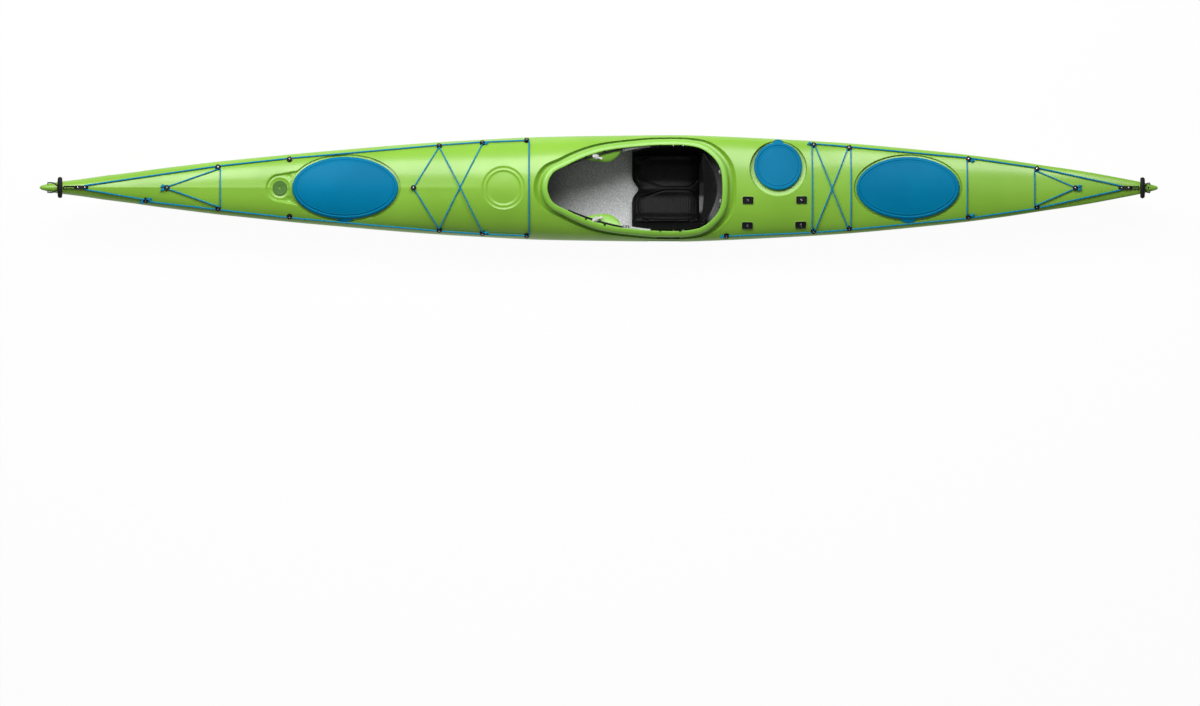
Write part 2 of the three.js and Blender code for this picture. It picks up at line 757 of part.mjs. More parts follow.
// A closed pan moulded into the deck, with a level floor or one that follows the deck.
function addPan(centreShare, radius, depth, level) {
  const place = { centreShare, side: 0, halfLength: radius, halfWidth: radius };
  const edge = ellipseOutline(place, recessPoints);
  const middle = deckHeight(stationX(centreShare), 0);
  const floor = level ? () => middle : deckHeight;
  deck = deck
    .subtract(cutter(edge, holeOut(recessSlope), shellWall, aboveDeck))
    .add(profileDisc(edge, [
      { share: 0, up: -depth, on: floor },
      { out: 0, up: -depth, on: floor },
      ...recessFlange(recessSlope).reverse(),
      { out: 0, up: -depth - panWall, on: floor },
      { share: 0, up: -depth - panWall, on: floor },
    ]));
}
addPan(compassCentreShare, compassRadius, compassDepth, true);
addPan(badgeCentreShare, badgeRadius, badgeDepth, false);

// Bulkheads close the hollow of the hull and deck together.
function bulkhead(share) {
  const halfShare = bulkheadThickness / 2 / hullLength;
  const inset = shellWall + bulkheadGap;
  return skin([share - halfShare, share + halfShare].map((place) => {
    const under = sectionRing(place, inset, false, 0);
    const over = sectionRing(place, inset, true, 0);
    return [...over, ...under.reverse().slice(1, -1)];
  }));
}

// Drop skeg
const skegX = stationX(skegPivotShare);
const keelAt = (x) => lineValue(2, shareAt(x)) * bowHeight;
const skegZ = keelAt(skegX) + skegPivotRise;
const skegSlotFront = skegX - skegHubRadius - skegClearance;
const skegSlotRear = skegX + skegBladeLength + skegClearance;
hull = hull.subtract(solid(block(skegSlotFront, skegSlotRear,
  -skegSlotHalfWidth, skegSlotHalfWidth, 0, bowHeight / 2)));

function skegBox() {
  const half = skegSlotHalfWidth + skegBoxWall;
  const front = skegSlotFront - skegBoxWall;
  const rear = skegSlotRear + skegBoxWall;
  const roof = skegZ + skegBladeDepth + skegClearance;
  const seat = (x) => keelAt(x) + shellWall + fitGap;
  const outer = solid(sidePlate([
    [front, seat(front)], [rear, seat(rear)], [rear, roof], [front, roof]], -half, half));
  const hollow = solid(block(skegSlotFront, skegSlotRear,
    -skegSlotHalfWidth, skegSlotHalfWidth, 0, roof - skegBoxWall));
  const pinEnd = new THREE.Vector3(skegX, half - skegBoxWall / 2, skegZ);
  const pin = solid(rod(skegPinRadius, pinEnd.clone().setY(-pinEnd.y), pinEnd));
  return outer.subtract(hollow).add(pin);
}

// Blade outline: a round hub at the pivot, a straight lower edge and a swept tail
function skegBlade() {
  const outline = [];
  for (let i = 0; i <= roundSides / 2; i++) {
    const angle = Math.PI / 2 + (Math.PI * i) / (roundSides / 2);
    outline.push([skegX + skegHubRadius * Math.cos(angle), skegZ + skegHubRadius * Math.sin(angle)]);
  }
  const rise = keelAt(skegX + skegBladeLength) - keelAt(skegX);
  const onBlade = ([along, up]) => [skegX + skegBladeLength * along, skegZ + skegBladeDepth * up];
  outline.push([skegX + skegBladeLength * skegHeelShare, skegZ - skegHubRadius + rise]);
  outline.push([skegX + skegBladeLength, skegZ + rise]);
  outline.push(onBlade(skegTailShares));
  outline.push([skegX + skegBladeLength * skegBackShare, skegZ + skegBladeDepth - skegHubRadius]);
  outline.push(onBlade(skegNeckShares));
  const plate = solid(sidePlate(outline, -skegBladeHalfThickness, skegBladeHalfThickness));
  const end = new THREE.Vector3(skegX, cutOverrun, skegZ);
  const bore = solid(rod(skegPinRadius + pivotClearance, end.clone().setY(-cutOverrun), end));
  return plate.subtract(bore);
}

// Slider housing, set flush in the port side across the seam
const sliderX = stationX(sliderStartShare);
const sliderCentreX = sliderX + sliderLength / 2;
const sliderLines = linesAt(shareAt(sliderCentreX));
const sliderFace = -(sliderLines.half - sliderSink);
const sliderZ = sliderLines.seam - sliderDrop;
const sliderBlock = (length, height, y0, y1) => block(
  sliderCentreX - length / 2, sliderCentreX + length / 2,
  y0, y1, sliderZ - height / 2, sliderZ + height / 2);
const sliderCut = solid(sliderBlock(sliderLength + 2 * fitGap, sliderHeight + 2 * fitGap,
  -hullBeam, sliderFace + sliderBody + fitGap));
hull = hull.subtract(sliderCut);
deck = deck.subtract(sliderCut);
const sliderHousing = solid(
  sliderBlock(sliderLength, sliderHeight, sliderFace, sliderFace + sliderBody))
  .subtract(solid(sliderBlock(sliderSlotLength, sliderSlotHeight,
    sliderFace - cutOverrun, sliderFace + sliderSlotDepth)));
const knobCentre = (sliderKnobLength - sliderSlotLength) / 2 + 2 * fitGap;
const sliderKnob = sliderBlock(sliderKnobLength, sliderSlotHeight - 2 * fitGap,
  sliderFace + fitGap, sliderFace + sliderSlotDepth - fitGap).translate(knobCentre, 0, 0);

// Seat
const seatRearX = cockpitX(seatRearShare);
const seatFrontX = seatRearX - seatLength;
const pivotX = cockpitX(backrestPivotShare);
const panFloor = shellWall + fitGap;
const earInner = seatWidth / 2 - seatPanWall;
const panOuterCorners = [
  [seatPanFloorHalfWidth, panFloor],
  [seatPanBendHalfWidth, seatPanBendHeight],
  [seatWidth / 2, seatPanSideHeight],
  [seatWingHalfWidth, seatWingHeight],
];
const panInnerCorners = [
  [seatPanFloorHalfWidth, panFloor + seatPanWall],
  [seatPanBendHalfWidth - seatPanWall, seatPanBendHeight + seatPanWall],
  [earInner, seatPanSideHeight],
  [seatWingHalfWidth - seatPanWall, seatWingHeight],
];
const handSpan = (hand, ...ys) => ys.map((y) => hand * y).sort((a, b) => a - b);

// A bent tray: flat on the keel, with a wing up each side to the coaming, and an ear and a pin
// for each arm
function seatPan() {
  const section = [...panOuterCorners, ...[...panInnerCorners].reverse()];
  const other = section.map(([y, z]) => [-y, z]).reverse();
  let pan = solid(lengthwiseBar([...section, ...other], seatFrontX, seatRearX));
  const root = seatPanSideHeight - seatPanWall;
  for (const hand of [1, -1]) {
    const ear = sidePlate([
      [pivotX - 3 * earHalfLength, root],
      [seatRearX, root],
      [pivotX + earHalfLength, backrestPivotHeight - earHalfLength],
      [pivotX + earHalfLength, backrestPivotHeight + earHalfLength],
      [pivotX - earHalfLength, backrestPivotHeight + earHalfLength],
      [pivotX - 3 * earHalfLength, seatPanSideHeight],
    ], ...handSpan(hand, earInner, earInner + earThickness));
    const pinFrom = new THREE.Vector3(pivotX, hand * (earInner + earThickness / 2),
      backrestPivotHeight);
    const pinTo = pinFrom.clone().setY(hand * (earInner - fitGap - armThickness));
    pan = pan.add(solid(ear)).add(solid(rod(pivotRadius, pinFrom, pinTo)));
  }
  return pan;
}

// Height of the tray's upper face
function trayHeight(y) {
  const out = Math.abs(y);
  const [flat, bend, side] = panInnerCorners;
  if (out <= flat[0]) return flat[1];
  const [from, to] = out <= bend[0] ? [flat, bend] : [bend, side];
  return THREE.MathUtils.mapLinear(out, from[0], to[0], from[1], to[1]);
}

// The cushion has two lobes with cross ribs, a ridge between them at the front and soft edges.
function seatPad() {
  const length = seatLength - 2 * seatPadInset;
  const half = earInner - seatPadSideInset;
  const rings = [];
  for (let j = 0; j <= seatPadColumns; j++) {
    const across = (2 * j) / seatPadColumns - 1;
    const sideRound = Math.sqrt(Math.max(1 - across ** seatPadSidePower, 0));
    const ring = [];
    const low = [];
    for (let i = 0; i <= seatPadRows; i++) {
      const along = i / seatPadRows;
      const x = seatFrontX + seatPadInset + along * length;
      const endPlace = THREE.MathUtils.lerp(...seatPadEndShares, along);
      const endRound = Math.sin(Math.PI * endPlace) ** seatPadEndPower;
      const y = across * half * THREE.MathUtils.lerp(seatPadFrontWidthShare, 1, endRound);
      const ridge = Math.exp(-((across / seatPadRidgeShare) ** 2)) * (1 - along);
      const valley = Math.sin(Math.PI * Math.abs(across)) * seatPadValleyShare;
      const rib = (i % 2) * seatPadRibShare;
      const thick = seatPadThickness
        * THREE.MathUtils.lerp(seatPadEdgeShare, 1, sideRound * endRound)
        + seatPadLobeRise * (ridge - valley + rib) * sideRound;
      const base = trayHeight(y) + 2 * fitGap;
      ring.push(new THREE.Vector3(x, y, base + thick));
      low.push(new THREE.Vector3(x, y, base));
    }
    rings.push([...ring, ...low.reverse()]);
  }
  return skin(rings);
}

// The backrest is a band bent round the paddler's back that leans rearwards, most in the middle,
// on two arms that turn on the pan's pins.
function backrest() {
  const rearX = cockpitX(backrestRearShare);
  const low = backrestTop - backrestHeight;
  const rings = [];
  for (let i = 0; i <= backrestSteps; i++) {
    const across = (2 * i) / backrestSteps - 1;
    const x = rearX - backrestCurve * across ** 2;
    const top = backrestTop - backrestHeight * backrestEndDropShare * across ** 2;
    const lean = THREE.MathUtils.lerp(backrestLean, backrestEndLean, across ** 2);
    const leanAt = (z) => (lean * (z - backrestTop)) / backrestHeight;
    const corners = [
      [0, low], [0, top - backrestThickness / 3], [-backrestThickness / 3, top],
      [-backrestThickness, top - backrestThickness / 3], [-backrestThickness, low],
    ];
    const y = (across * backrestWidth) / 2;
    rings.push(corners.map(([dx, z]) => new THREE.Vector3(x + dx + leanAt(z), y, z)));
  }
  let band = solid(skin(rings));
  const armOuter = earInner - fitGap;
  const tipX = rearX - backrestCurve - backrestEndLean / 2;
  for (const hand of [1, -1]) {
    const arm = sidePlate([
      [pivotX - armWidth / 2, backrestPivotHeight - armWidth / 2],
      [pivotX + armWidth / 2, backrestPivotHeight - armWidth / 2],
      [tipX, low + backrestHeight / 2],
      [tipX - backrestThickness, low + backrestHeight / 2],
      [pivotX - armWidth / 2, backrestPivotHeight + armWidth / 2],
    ], ...handSpan(hand, armOuter - armThickness, armOuter));
    const end = new THREE.Vector3(pivotX, hand * (armOuter + cutOverrun), backrestPivotHeight);
    const bore = rod(pivotRadius + pivotClearance, end.clone().setY(0), end);
    band = band.add(solid(arm)).subtract(solid(bore));
  }
  return band;
}

// Inner half breadth of the hull at a height, for what is fixed to its side
function hullInnerHalf(x, z) {
  const { half, keel, seam, power } = linesAt(shareAt(x));
  const side = half - shellWall;
  const flat = keelFlatShare * side;
  const down = (seam - z) / (seam - keel - shellWall);
  return flat + (side - flat) * (1 - down ** power) ** (1 / power);
}

// A footrest rail stands on two feet against the hull side, and follows its taper.
function footrestRail(hand) {
  const ends = [footrestFrontShare, footrestRearShare].map((share) => {
    const x = stationX(share);
    const low = hullInnerHalf(x, footrestHeight - railWidth / 2);
    return new THREE.Vector3(x, hand * (low - railFootLength), footrestHeight);
  });
  const along = new THREE.Vector3().subVectors(ends[1], ends[0]);
  const turn = Math.atan2(along.y, along.x);
  const middle = ends[0].clone().lerp(ends[1], 0.5);
  const bar = new THREE.BoxGeometry(along.length() + railWidth, railDepth, railWidth)
    .translate(0, (-hand * railDepth) / 2, 0).rotateZ(turn).translate(...middle.toArray());
  let rail = solid(bar);
  for (const end of ends) {
    const wall = hullInnerHalf(end.x, footrestHeight - railFootRadius) - railFootRadius / 4;
    const root = end.clone().setY(end.y - (hand * railDepth) / 2);
    rail = rail.add(solid(rod(railFootRadius, root, end.clone().setY(hand * wall), fittingSides)));
  }
  return { rail, middle, turn };
}

// A pedal stands on a carriage on the inner face of its rail.
function footPedal(hand) {
  const face = -railDepth - fitGap;
  const carriage = block(-pedalCarriageLength / 2, pedalCarriageLength / 2,
    ...handSpan(hand, face, face - pedalCarriageDepth), -railWidth / 2, railWidth / 2);
  const plate = block(-pedalThickness / 2, pedalThickness / 2,
    ...handSpan(hand, face - pedalCarriageDepth / 2, face - pedalWidth),
    -railWidth / 2, pedalHeight - railWidth / 2);
  return solid(carriage).add(solid(plate));
}

// Deck fittings and lines

const fittingSeats = Object.fromEntries(Object.entries(fittingPlaceShares)
  .map(([name, shares]) => [name, deckPlaceByShares(shares, fitGap)]));

// A round fitting: a base, a domed cap and room between them for the cords
function fittingBody({ matrix }) {
  const profile = [
    [0, 0], [fittingRadius, 0], [fittingRadius, fittingShoulder],
    [fittingRadius - fittingHeight / 3, fittingHeight], [0, fittingHeight],
  ].map(([x, y]) => new THREE.Vector2(x, y));
  return solid(facingOut(new THREE.LatheGeometry(profile, fittingSides)
    .rotateX(Math.PI / 2).applyMatrix4(matrix)));
}

// An end fitting is a long bar on the centreline with sloped ends.
function endFittingBody({ matrix }) {
  const half = endFittingLength / 2;
  const bar = sidePlate([
    [-half, 0], [half, 0], [half, endFittingHeight / 2], [half - endFittingHeight, endFittingHeight],
    [endFittingHeight - half, endFittingHeight], [-half, endFittingHeight / 2],
  ], -endFittingWidth / 2, endFittingWidth / 2);
  return solid(bar.applyMatrix4(matrix));
}

// A place on a cord's route, measured on the deck from the middle of a fitting. A place with a
// turn is a rounded corner, and one with a knot stands a little higher.
function at(name, { along = 0, out = 0, turn = 0, aside = 0, knot = false } = {}) {
  const { matrix } = fittingSeats[name];
  const hand = Math.sign(fittingPlaceShares[name][1]);
  const { x, y } = new THREE.Vector3(along, hand * out + aside, 0).applyMatrix4(matrix);
  return { x, y, turn, knot };
}

// Points of a corner between two neighbours: onto it, near it and off it again
function roundCorner(before, corner, after) {
  const plan = ({ x, y }) => new THREE.Vector2(x, y);
  const ends = [before, after].map((other) => {
    const away = plan(other).sub(plan(corner));
    return plan(corner).addScaledVector(away, Math.min(corner.turn / away.length(), 0.5));
  });
  const bend = new THREE.QuadraticBezierCurve(ends[0], plan(corner), ends[1]);
  return bend.getPoints(cornerSteps).map(({ x, y }) => ({ ...corner, x, y }));
}

// A cord's centre line at an even height over the deck, with a point at least every step
function followDeck(places, diameter) {
  const lift = fitGap + tunnelFloor + diameter / 2;
  const knotOver = diameter * knotShare + cordClearance - lift;
  const rise = ({ over = 0, knot }) => (knot ? knotOver : over);
  const last = places.length - 1;
  const plan = places.flatMap((place, i) =>
    place.turn && i > 0 && i < last ? roundCorner(places[i - 1], place, places[i + 1]) : [place]);
  const points = [];
  plan.forEach((place, i) => {
    const next = plan[i + 1] ?? place;
    const span = Math.hypot(next.x - place.x, next.y - place.y);
    const across = Math.abs(next.y - place.y) > Math.abs(next.x - place.x);
    const steps = Math.max(Math.ceil(span / (across ? crossStep : alongStep)), 1);
    for (let k = 0; k < steps; k++) {
      const part = k / steps;
      const over = THREE.MathUtils.lerp(rise(place), rise(next), part);
      points.push(deckPlace(THREE.MathUtils.lerp(place.x, next.x, part),
        THREE.MathUtils.lerp(place.y, next.y, part), lift + over).point);
    }
  });
  return points;
}

const [bowEnd, sternEnd] = [bowEndFittingShare, sternEndFittingShare]
  .map((share) => deckPlaceByShares([share, 0], fitGap));
// The perimeter line turns back inside the end fitting, on the side that faces the cockpit.
const endTurn = ({ point }, hands) => hands.map((hand) => ({
  x: point.x - Math.sign(point.x) * (endFittingLength / 2 - endFittingHeight),
  y: hand * endTurnHalfWidth,
  turn: endTurnHalfWidth * endTurnShare,
}));

const outboard = { out: lineOutboard };
const inboard = -bungeeInboard;
const fore = (i, hand) => `foredeck_fitting_${i}_${hand}`;
const aft = (i, hand) => `aftdeck_fitting_${i}_${hand}`;
const [starboard, port] = ["starboard", "port"];
// A cord that comes off a crossing run into a fitting and turns back the other way
const hairpin = (name, first) => [first, -first].map((along) =>
  at(name, { along, out: inboard, turn: turnRadius }));
const corner = (name) => at(name, { out: inboard, turn: turnRadius });
const knotEnd = (name, side, aside) => [
  at(name, { along: side * knotDistance, aside, knot: true }),
  at(name, { along: -side * fittingRadius, aside }),
];

const cords = {
  fore_deck_line: {
    diameter: lineDiameter,
    places: [
      at("bow_port_line_fitting", { along: knotDistance, out: -lineOutboard, knot: true }),
      at("bow_port_line_fitting", { along: -fittingRadius, out: -lineOutboard }),
      ...endTurn(bowEnd, [-1, 1]),
      ...[1, 2, 3, 4].map((i) => at(fore(i, starboard), outboard)),
      at(fore(5, starboard), { turn: turnRadius }),
      at(fore(5, port), { turn: turnRadius }),
      ...[4, 3, 2, 1].map((i) => at(fore(i, port), outboard)),
      at("bow_port_line_fitting", { along: fittingRadius, out: lineOutboard }),
      at("bow_port_line_fitting", { along: -knotDistance, out: lineOutboard, knot: true }),
    ],
  },
  aft_deck_line: {
    diameter: lineDiameter,
    places: [
      at("cockpit_fitting_port", { along: -knotDistance, knot: true }),
      at("cockpit_fitting_port", { along: fittingRadius }),
      ...[1, 2, 3, 4].map((i) => at(aft(i, port), outboard)),
      ...endTurn(sternEnd, [-1, 1]),
      ...[4, 3, 2].map((i) => at(aft(i, starboard), outboard)),
      at(aft(1, starboard), { along: fittingRadius, out: lineOutboard }),
      at(aft(1, starboard), { along: -knotDistance, out: lineOutboard, knot: true }),
    ],
  },
  bow_bungee: {
    diameter: bungeeDiameter,
    places: [
      ...knotEnd("bow_centre_fitting", -1, pairSpread),
      corner(fore(1, starboard)), corner(fore(1, port)),
      ...knotEnd("bow_centre_fitting", -1, -pairSpread).reverse(),
    ],
  },
  foredeck_bungee: {
    diameter: bungeeDiameter,
    places: [
      at(fore(4, starboard), { along: knotDistance, out: inboard, knot: true }),
      at(fore(4, starboard), { out: inboard, turn: turnRadius }),
      corner(fore(3, port)), corner("foredeck_centre_fitting"), corner(fore(3, starboard)),
      { x: (at(fore(3, port)).x + at(fore(4, port)).x) / 2, y: 0, over: crossOver },
      at(fore(4, port), { out: inboard, turn: turnRadius }),
      at(fore(4, port), { along: knotDistance, out: inboard, knot: true }),
    ],
  },
  aft_bungee: {
    diameter: bungeeDiameter,
    places: [
      at(aft(1, starboard), { along: -bungeeEndGap, out: inboard }),
      at(aft(1, starboard), { along: -pairSpread, out: inboard, turn: turnRadius / 2 }),
      ...hairpin(aft(1, port), -pairSpread),
      ...hairpin(aft(2, starboard), -pairSpread),
      ...hairpin(aft(2, port), pairSpread),
      { x: (at(aft(1, port)).x + at(aft(2, port)).x) / 2, y: 0, over: crossOver },
      at(aft(1, starboard), { along: pairSpread, out: inboard, turn: turnRadius / 2 }),
      at(aft(1, starboard), { along: bungeeEndGap, out: inboard }),
    ],
  },
  stern_hatch_cord: {
    diameter: bungeeDiameter,
    places: [
      at(aft(3, starboard), { along: knotDistance, out: 2 * inboard, knot: true }),
      at(aft(3, starboard), { along: -pairSpread, out: inboard, turn: turnRadius }),
      at(aft(3, port), { along: -pairSpread, out: inboard, turn: turnRadius }),
      at(aft(3, port), { along: knotDistance, out: 2 * inboard, knot: true }),
    ],
  },
  stern_bungee: {
    diameter: bungeeDiameter,
    places: [
      ...knotEnd("stern_centre_fitting", 1, pairSpread),
      corner(aft(4, starboard)), corner(aft(4, port)),
      ...knotEnd("stern_centre_fitting", 1, -pairSpread).reverse(),
    ],
  },
};

// Carry toggles

// A cord's closed run from the hole through the end of the boat round the toggle
function toggleCordPoints(holeShare, toggleShare) {
  const radius = toggleCordDiameter / 2;
  const { half, seam, crown } = linesAt(holeShare);
  const x = stationX(holeShare);
  const z = THREE.MathUtils.lerp(seam, crown, holeHeightShare);
  const towards = stationX(toggleShare) - x;
  const rise = crownAt(toggleShare) + toggleSeat;
  const mid = stationX(holeShare) + towards * toggleCordBendShare;
  const near = stationX(toggleShare) - Math.sign(towards) * (toggleWidth / 2 + radius);
  const sideAt = (place) => linesAt(shareAt(place)).half * toggleCordSideShare;
  const starboardSide = [
    new THREE.Vector3(x, 2 * fitGap, z),
    new THREE.Vector3(x, half + radius, z),
    new THREE.Vector3(x + Math.sign(towards) * radius, half + 2 * radius, z + radius),
    deckPlace(mid, sideAt(mid), radius + cordClearance).point,
    deckPlace(near, toggleCordHalfSpread, radius + 2 * cordClearance).point,
    new THREE.Vector3(stationX(toggleShare) - Math.sign(towards) * radius, toggleCordHalfSpread, rise),
    new THREE.Vector3(stationX(toggleShare), toggleCordHalfSpread - radius, rise),
  ];
  const portSide = starboardSide.map((p) => p.clone().setY(-p.y)).reverse();
  return [...starboardSide, ...portSide];
}

const toggleSeat = toggleDepth / 2 + 2 * fitGap;
function crownAt(share) {
  return linesAt(share).crown;
}

// An oval bar across the deck, a little drooped and drawn in towards its ends
function toggleBar(share) {
  const rings = [];
  for (let i = 0; i <= toggleSteps; i++) {
    const across = (2 * i) / toggleSteps - 1;
    const size = (1 - toggleTipShare * Math.abs(across) ** toggleTipPower)
      * (1 - toggleTaperShare * across ** 2);
    const centre = crownAt(share) + toggleSeat - toggleDroop * across ** 2;
    const ring = [];
    for (let k = 0; k < toggleSides; k++) {
      const angle = (2 * Math.PI * k) / toggleSides;
      ring.push(new THREE.Vector3(
        stationX(share) + (toggleWidth / 2) * size * Math.cos(angle),
        (across * toggleLength) / 2,
        centre + (toggleDepth / 2) * size * Math.sin(angle)));
    }
    rings.push(ring);
  }
  return solid(skin(rings));
}

// A cord loop that holds the toggle down, from the end fitting to just behind the toggle
function retainingLoop(toggleShare, fittingShare) {
  const from = stationX(fittingShare);
  const towards = Math.sign(stationX(toggleShare) - from);
  const root = from + towards * (endFittingLength / 2 - endFittingHeight);
  const tip = stationX(toggleShare) - towards * (toggleWidth / 2 + retainingCordDiameter);
  const half = retainingCordDiameter;
  const places = [[root, half], [tip, half], [tip, -half], [root, -half]]
    .map(([x, y]) => ({ x, y, turn: half * endTurnShare }));
  return tube(followDeck(places, retainingCordDiameter), retainingCordDiameter);
}

// Assembly

const boat = new THREE.Group();
function part(name, made, look, group = boat) {
  const mesh = new THREE.Mesh(made.isBufferGeometry ? made : geometryOf(made), look);
  mesh.name = name;
  group.add(mesh);
  return mesh;
}
function section() {
  const group = new THREE.Group();
  boat.add(group);
  return group;
}

// The toggles' cords pass through the ends of the deck.
const toggles = [
  {
    name: "bow", share: bowToggleShare, hole: bowHoleShare, end: bowEnd,
    endShare: bowEndFittingShare,
  },
  {
    name: "stern", share: sternToggleShare, hole: sternHoleShare, end: sternEnd,
    endShare: sternEndFittingShare,
  },
];
for (const { hole } of toggles) {
  const { seam, crown } = linesAt(hole);
  const end = new THREE.Vector3(stationX(hole), cutOverrun,
    THREE.MathUtils.lerp(seam, crown, holeHeightShare));
  const bore = rod(toggleCordDiameter / 2 + cordClearance, end.clone().setY(-cutOverrun), end);
  deck = deck.subtract(solid(bore));
}

const shells = section();
part("hull_shell", hull, hullGreen, shells);
part("deck_shell", deck, hullGreen, shells);
part("cockpit_coaming", coaming, hullGreen, shells);
part("bow_bulkhead", bulkhead(bowBulkheadShare), linerGrey, shells);
part("cockpit_bulkhead", bulkhead(cockpitBulkheadShare), linerGrey, shells);
part("stern_bulkhead", bulkhead(sternBulkheadShare), linerGrey, shells);

const hatches = section();
part("bow_hatch_lid", hatchLid(bowHatch, deckHeight, -1), hatchBlue, hatches);
part("stern_hatch_lid", hatchLid(sternHatch, deckHeight, -1), hatchBlue, hatches);
part("day_hatch_lid", hatchLid(dayHatch, dayPlane, 1), hatchBlue, hatches);

const cockpit = section();
part("seat_pan", seatPan(), seatBlack, cockpit);
part("seat_pad", seatPad(), seatBlack, cockpit);
part("backrest", backrest(), seatBlack, cockpit);
for (const [side, hand] of [[starboard, 1], [port, -1]]) {
  const { rail, middle, turn } = footrestRail(hand);
  part(`footrest_rail_${side}`, rail, fittingBlack, cockpit);
  const pedal = part(`foot_pedal_${side}`, footPedal(hand), fittingBlack, cockpit);
  pedal.position.copy(middle);
  pedal.rotation.z = turn;
}

const skeg = section();
part("skeg_box", skegBox(), bladeGrey, skeg);
part("skeg_blade", skegBlade(), bladeGrey, skeg);
part("skeg_slider_housing", sliderHousing, fittingBlack, skeg);
part("skeg_slider_knob", sliderKnob, fittingBlack, skeg);

// Every fitting is cut by the cords that pass through it, drawn a little thicker.
const cordWays = Object.values(cords).map(({ places, diameter }) =>
  solid(tube(followDeck(places, diameter), diameter + 2 * tunnelClearance)));
const tunnelled = (made) => cordWays.reduce((left, way) => left.subtract(way), made);

const fittings = section();
for (const [name, seat] of Object.entries(fittingSeats))
  part(name, tunnelled(fittingBody(seat)), fittingBlack, fittings);
for (const [name, shares] of Object.entries(platePlaceShares)) {
  const { matrix } = deckPlaceByShares(shares, plateBedding + plateThickness / 2);
  const plate = part(name, new THREE.BoxGeometry(plateLength, plateWidth, plateThickness),
    fittingBlack, fittings);
  plate.applyMatrix4(matrix);
}

const lines = section();
for (const [name, { places, diameter }] of Object.entries(cords)) {
  const points = followDeck(places, diameter);
  let cord = solid(tube(points, diameter));
  if (!name.startsWith("aft_bungee"))
    for (const end of [points[0], points.at(-1)])
      cord = cord.add(solid(new THREE.SphereGeometry(diameter * knotShare, knotSides, knotSides - 2)
        .translate(...end.toArray())));
  part(name, cord, cordBlue, lines);
}

for (const { name, share, hole, end, endShare } of toggles) {
  const points = toggleCordPoints(hole, share);
  const way = solid(tube(points, toggleCordDiameter + 2 * tunnelClearance));
  part(`${name}_toggle`, toggleBar(share).subtract(way), fittingBlack, lines);
  part(`${name}_toggle_cord`, tube(points, toggleCordDiameter), fittingBlack, lines);
  const loop = solid(retainingLoop(share, endShare));
  part(`${name}_end_fitting`, tunnelled(endFittingBody(end)).add(loop), fittingBlack, fittings);
}

export default boat;
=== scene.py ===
import bisect
import functools
import math

import bpy
from mathutils import Matrix, Vector


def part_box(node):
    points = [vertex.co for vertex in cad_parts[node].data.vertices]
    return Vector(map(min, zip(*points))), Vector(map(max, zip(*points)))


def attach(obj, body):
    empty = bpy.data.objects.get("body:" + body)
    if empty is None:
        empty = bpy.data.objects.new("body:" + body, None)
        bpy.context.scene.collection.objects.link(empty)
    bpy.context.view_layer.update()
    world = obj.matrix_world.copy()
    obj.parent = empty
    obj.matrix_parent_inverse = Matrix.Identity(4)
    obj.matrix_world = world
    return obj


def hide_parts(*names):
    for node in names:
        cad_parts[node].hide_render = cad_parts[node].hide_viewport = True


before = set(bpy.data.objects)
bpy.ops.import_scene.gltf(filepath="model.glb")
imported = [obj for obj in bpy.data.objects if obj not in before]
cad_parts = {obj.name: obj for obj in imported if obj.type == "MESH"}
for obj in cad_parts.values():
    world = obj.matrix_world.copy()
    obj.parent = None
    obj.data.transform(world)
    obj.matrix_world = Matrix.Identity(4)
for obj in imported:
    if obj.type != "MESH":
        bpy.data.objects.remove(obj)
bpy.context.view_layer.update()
mm = 0.001

# Sea kayak, dressed for the studio. Metres, bow towards -X, starboard towards +Y, keel plane Z = 0.
boat = {
    "length": 5.3,
    "halfBeam": 0.2536,
    "bowHeight": 0.325,
    "deckPower": 1.85,       # fullness of the deck section
    "keelFlat": 0.16,        # flat of the keel, as a share of the half breadth
    "wall": 4 * mm,
    "endRound": 0.0022,      # share of the length that each tip is rounded over
    "fairing": 0.007,        # half window of the fairing, as a share of the length
    "ridgeDrop": 1.7 * mm,   # the foredeck falls this far off its centre ridge
    "ridgeWidth": 26 * mm,
    "lidDrop": 1.2 * mm,     # the bow lid lies this much under the even deck
    "cutTop": 0.5,           # a height over the whole boat
}

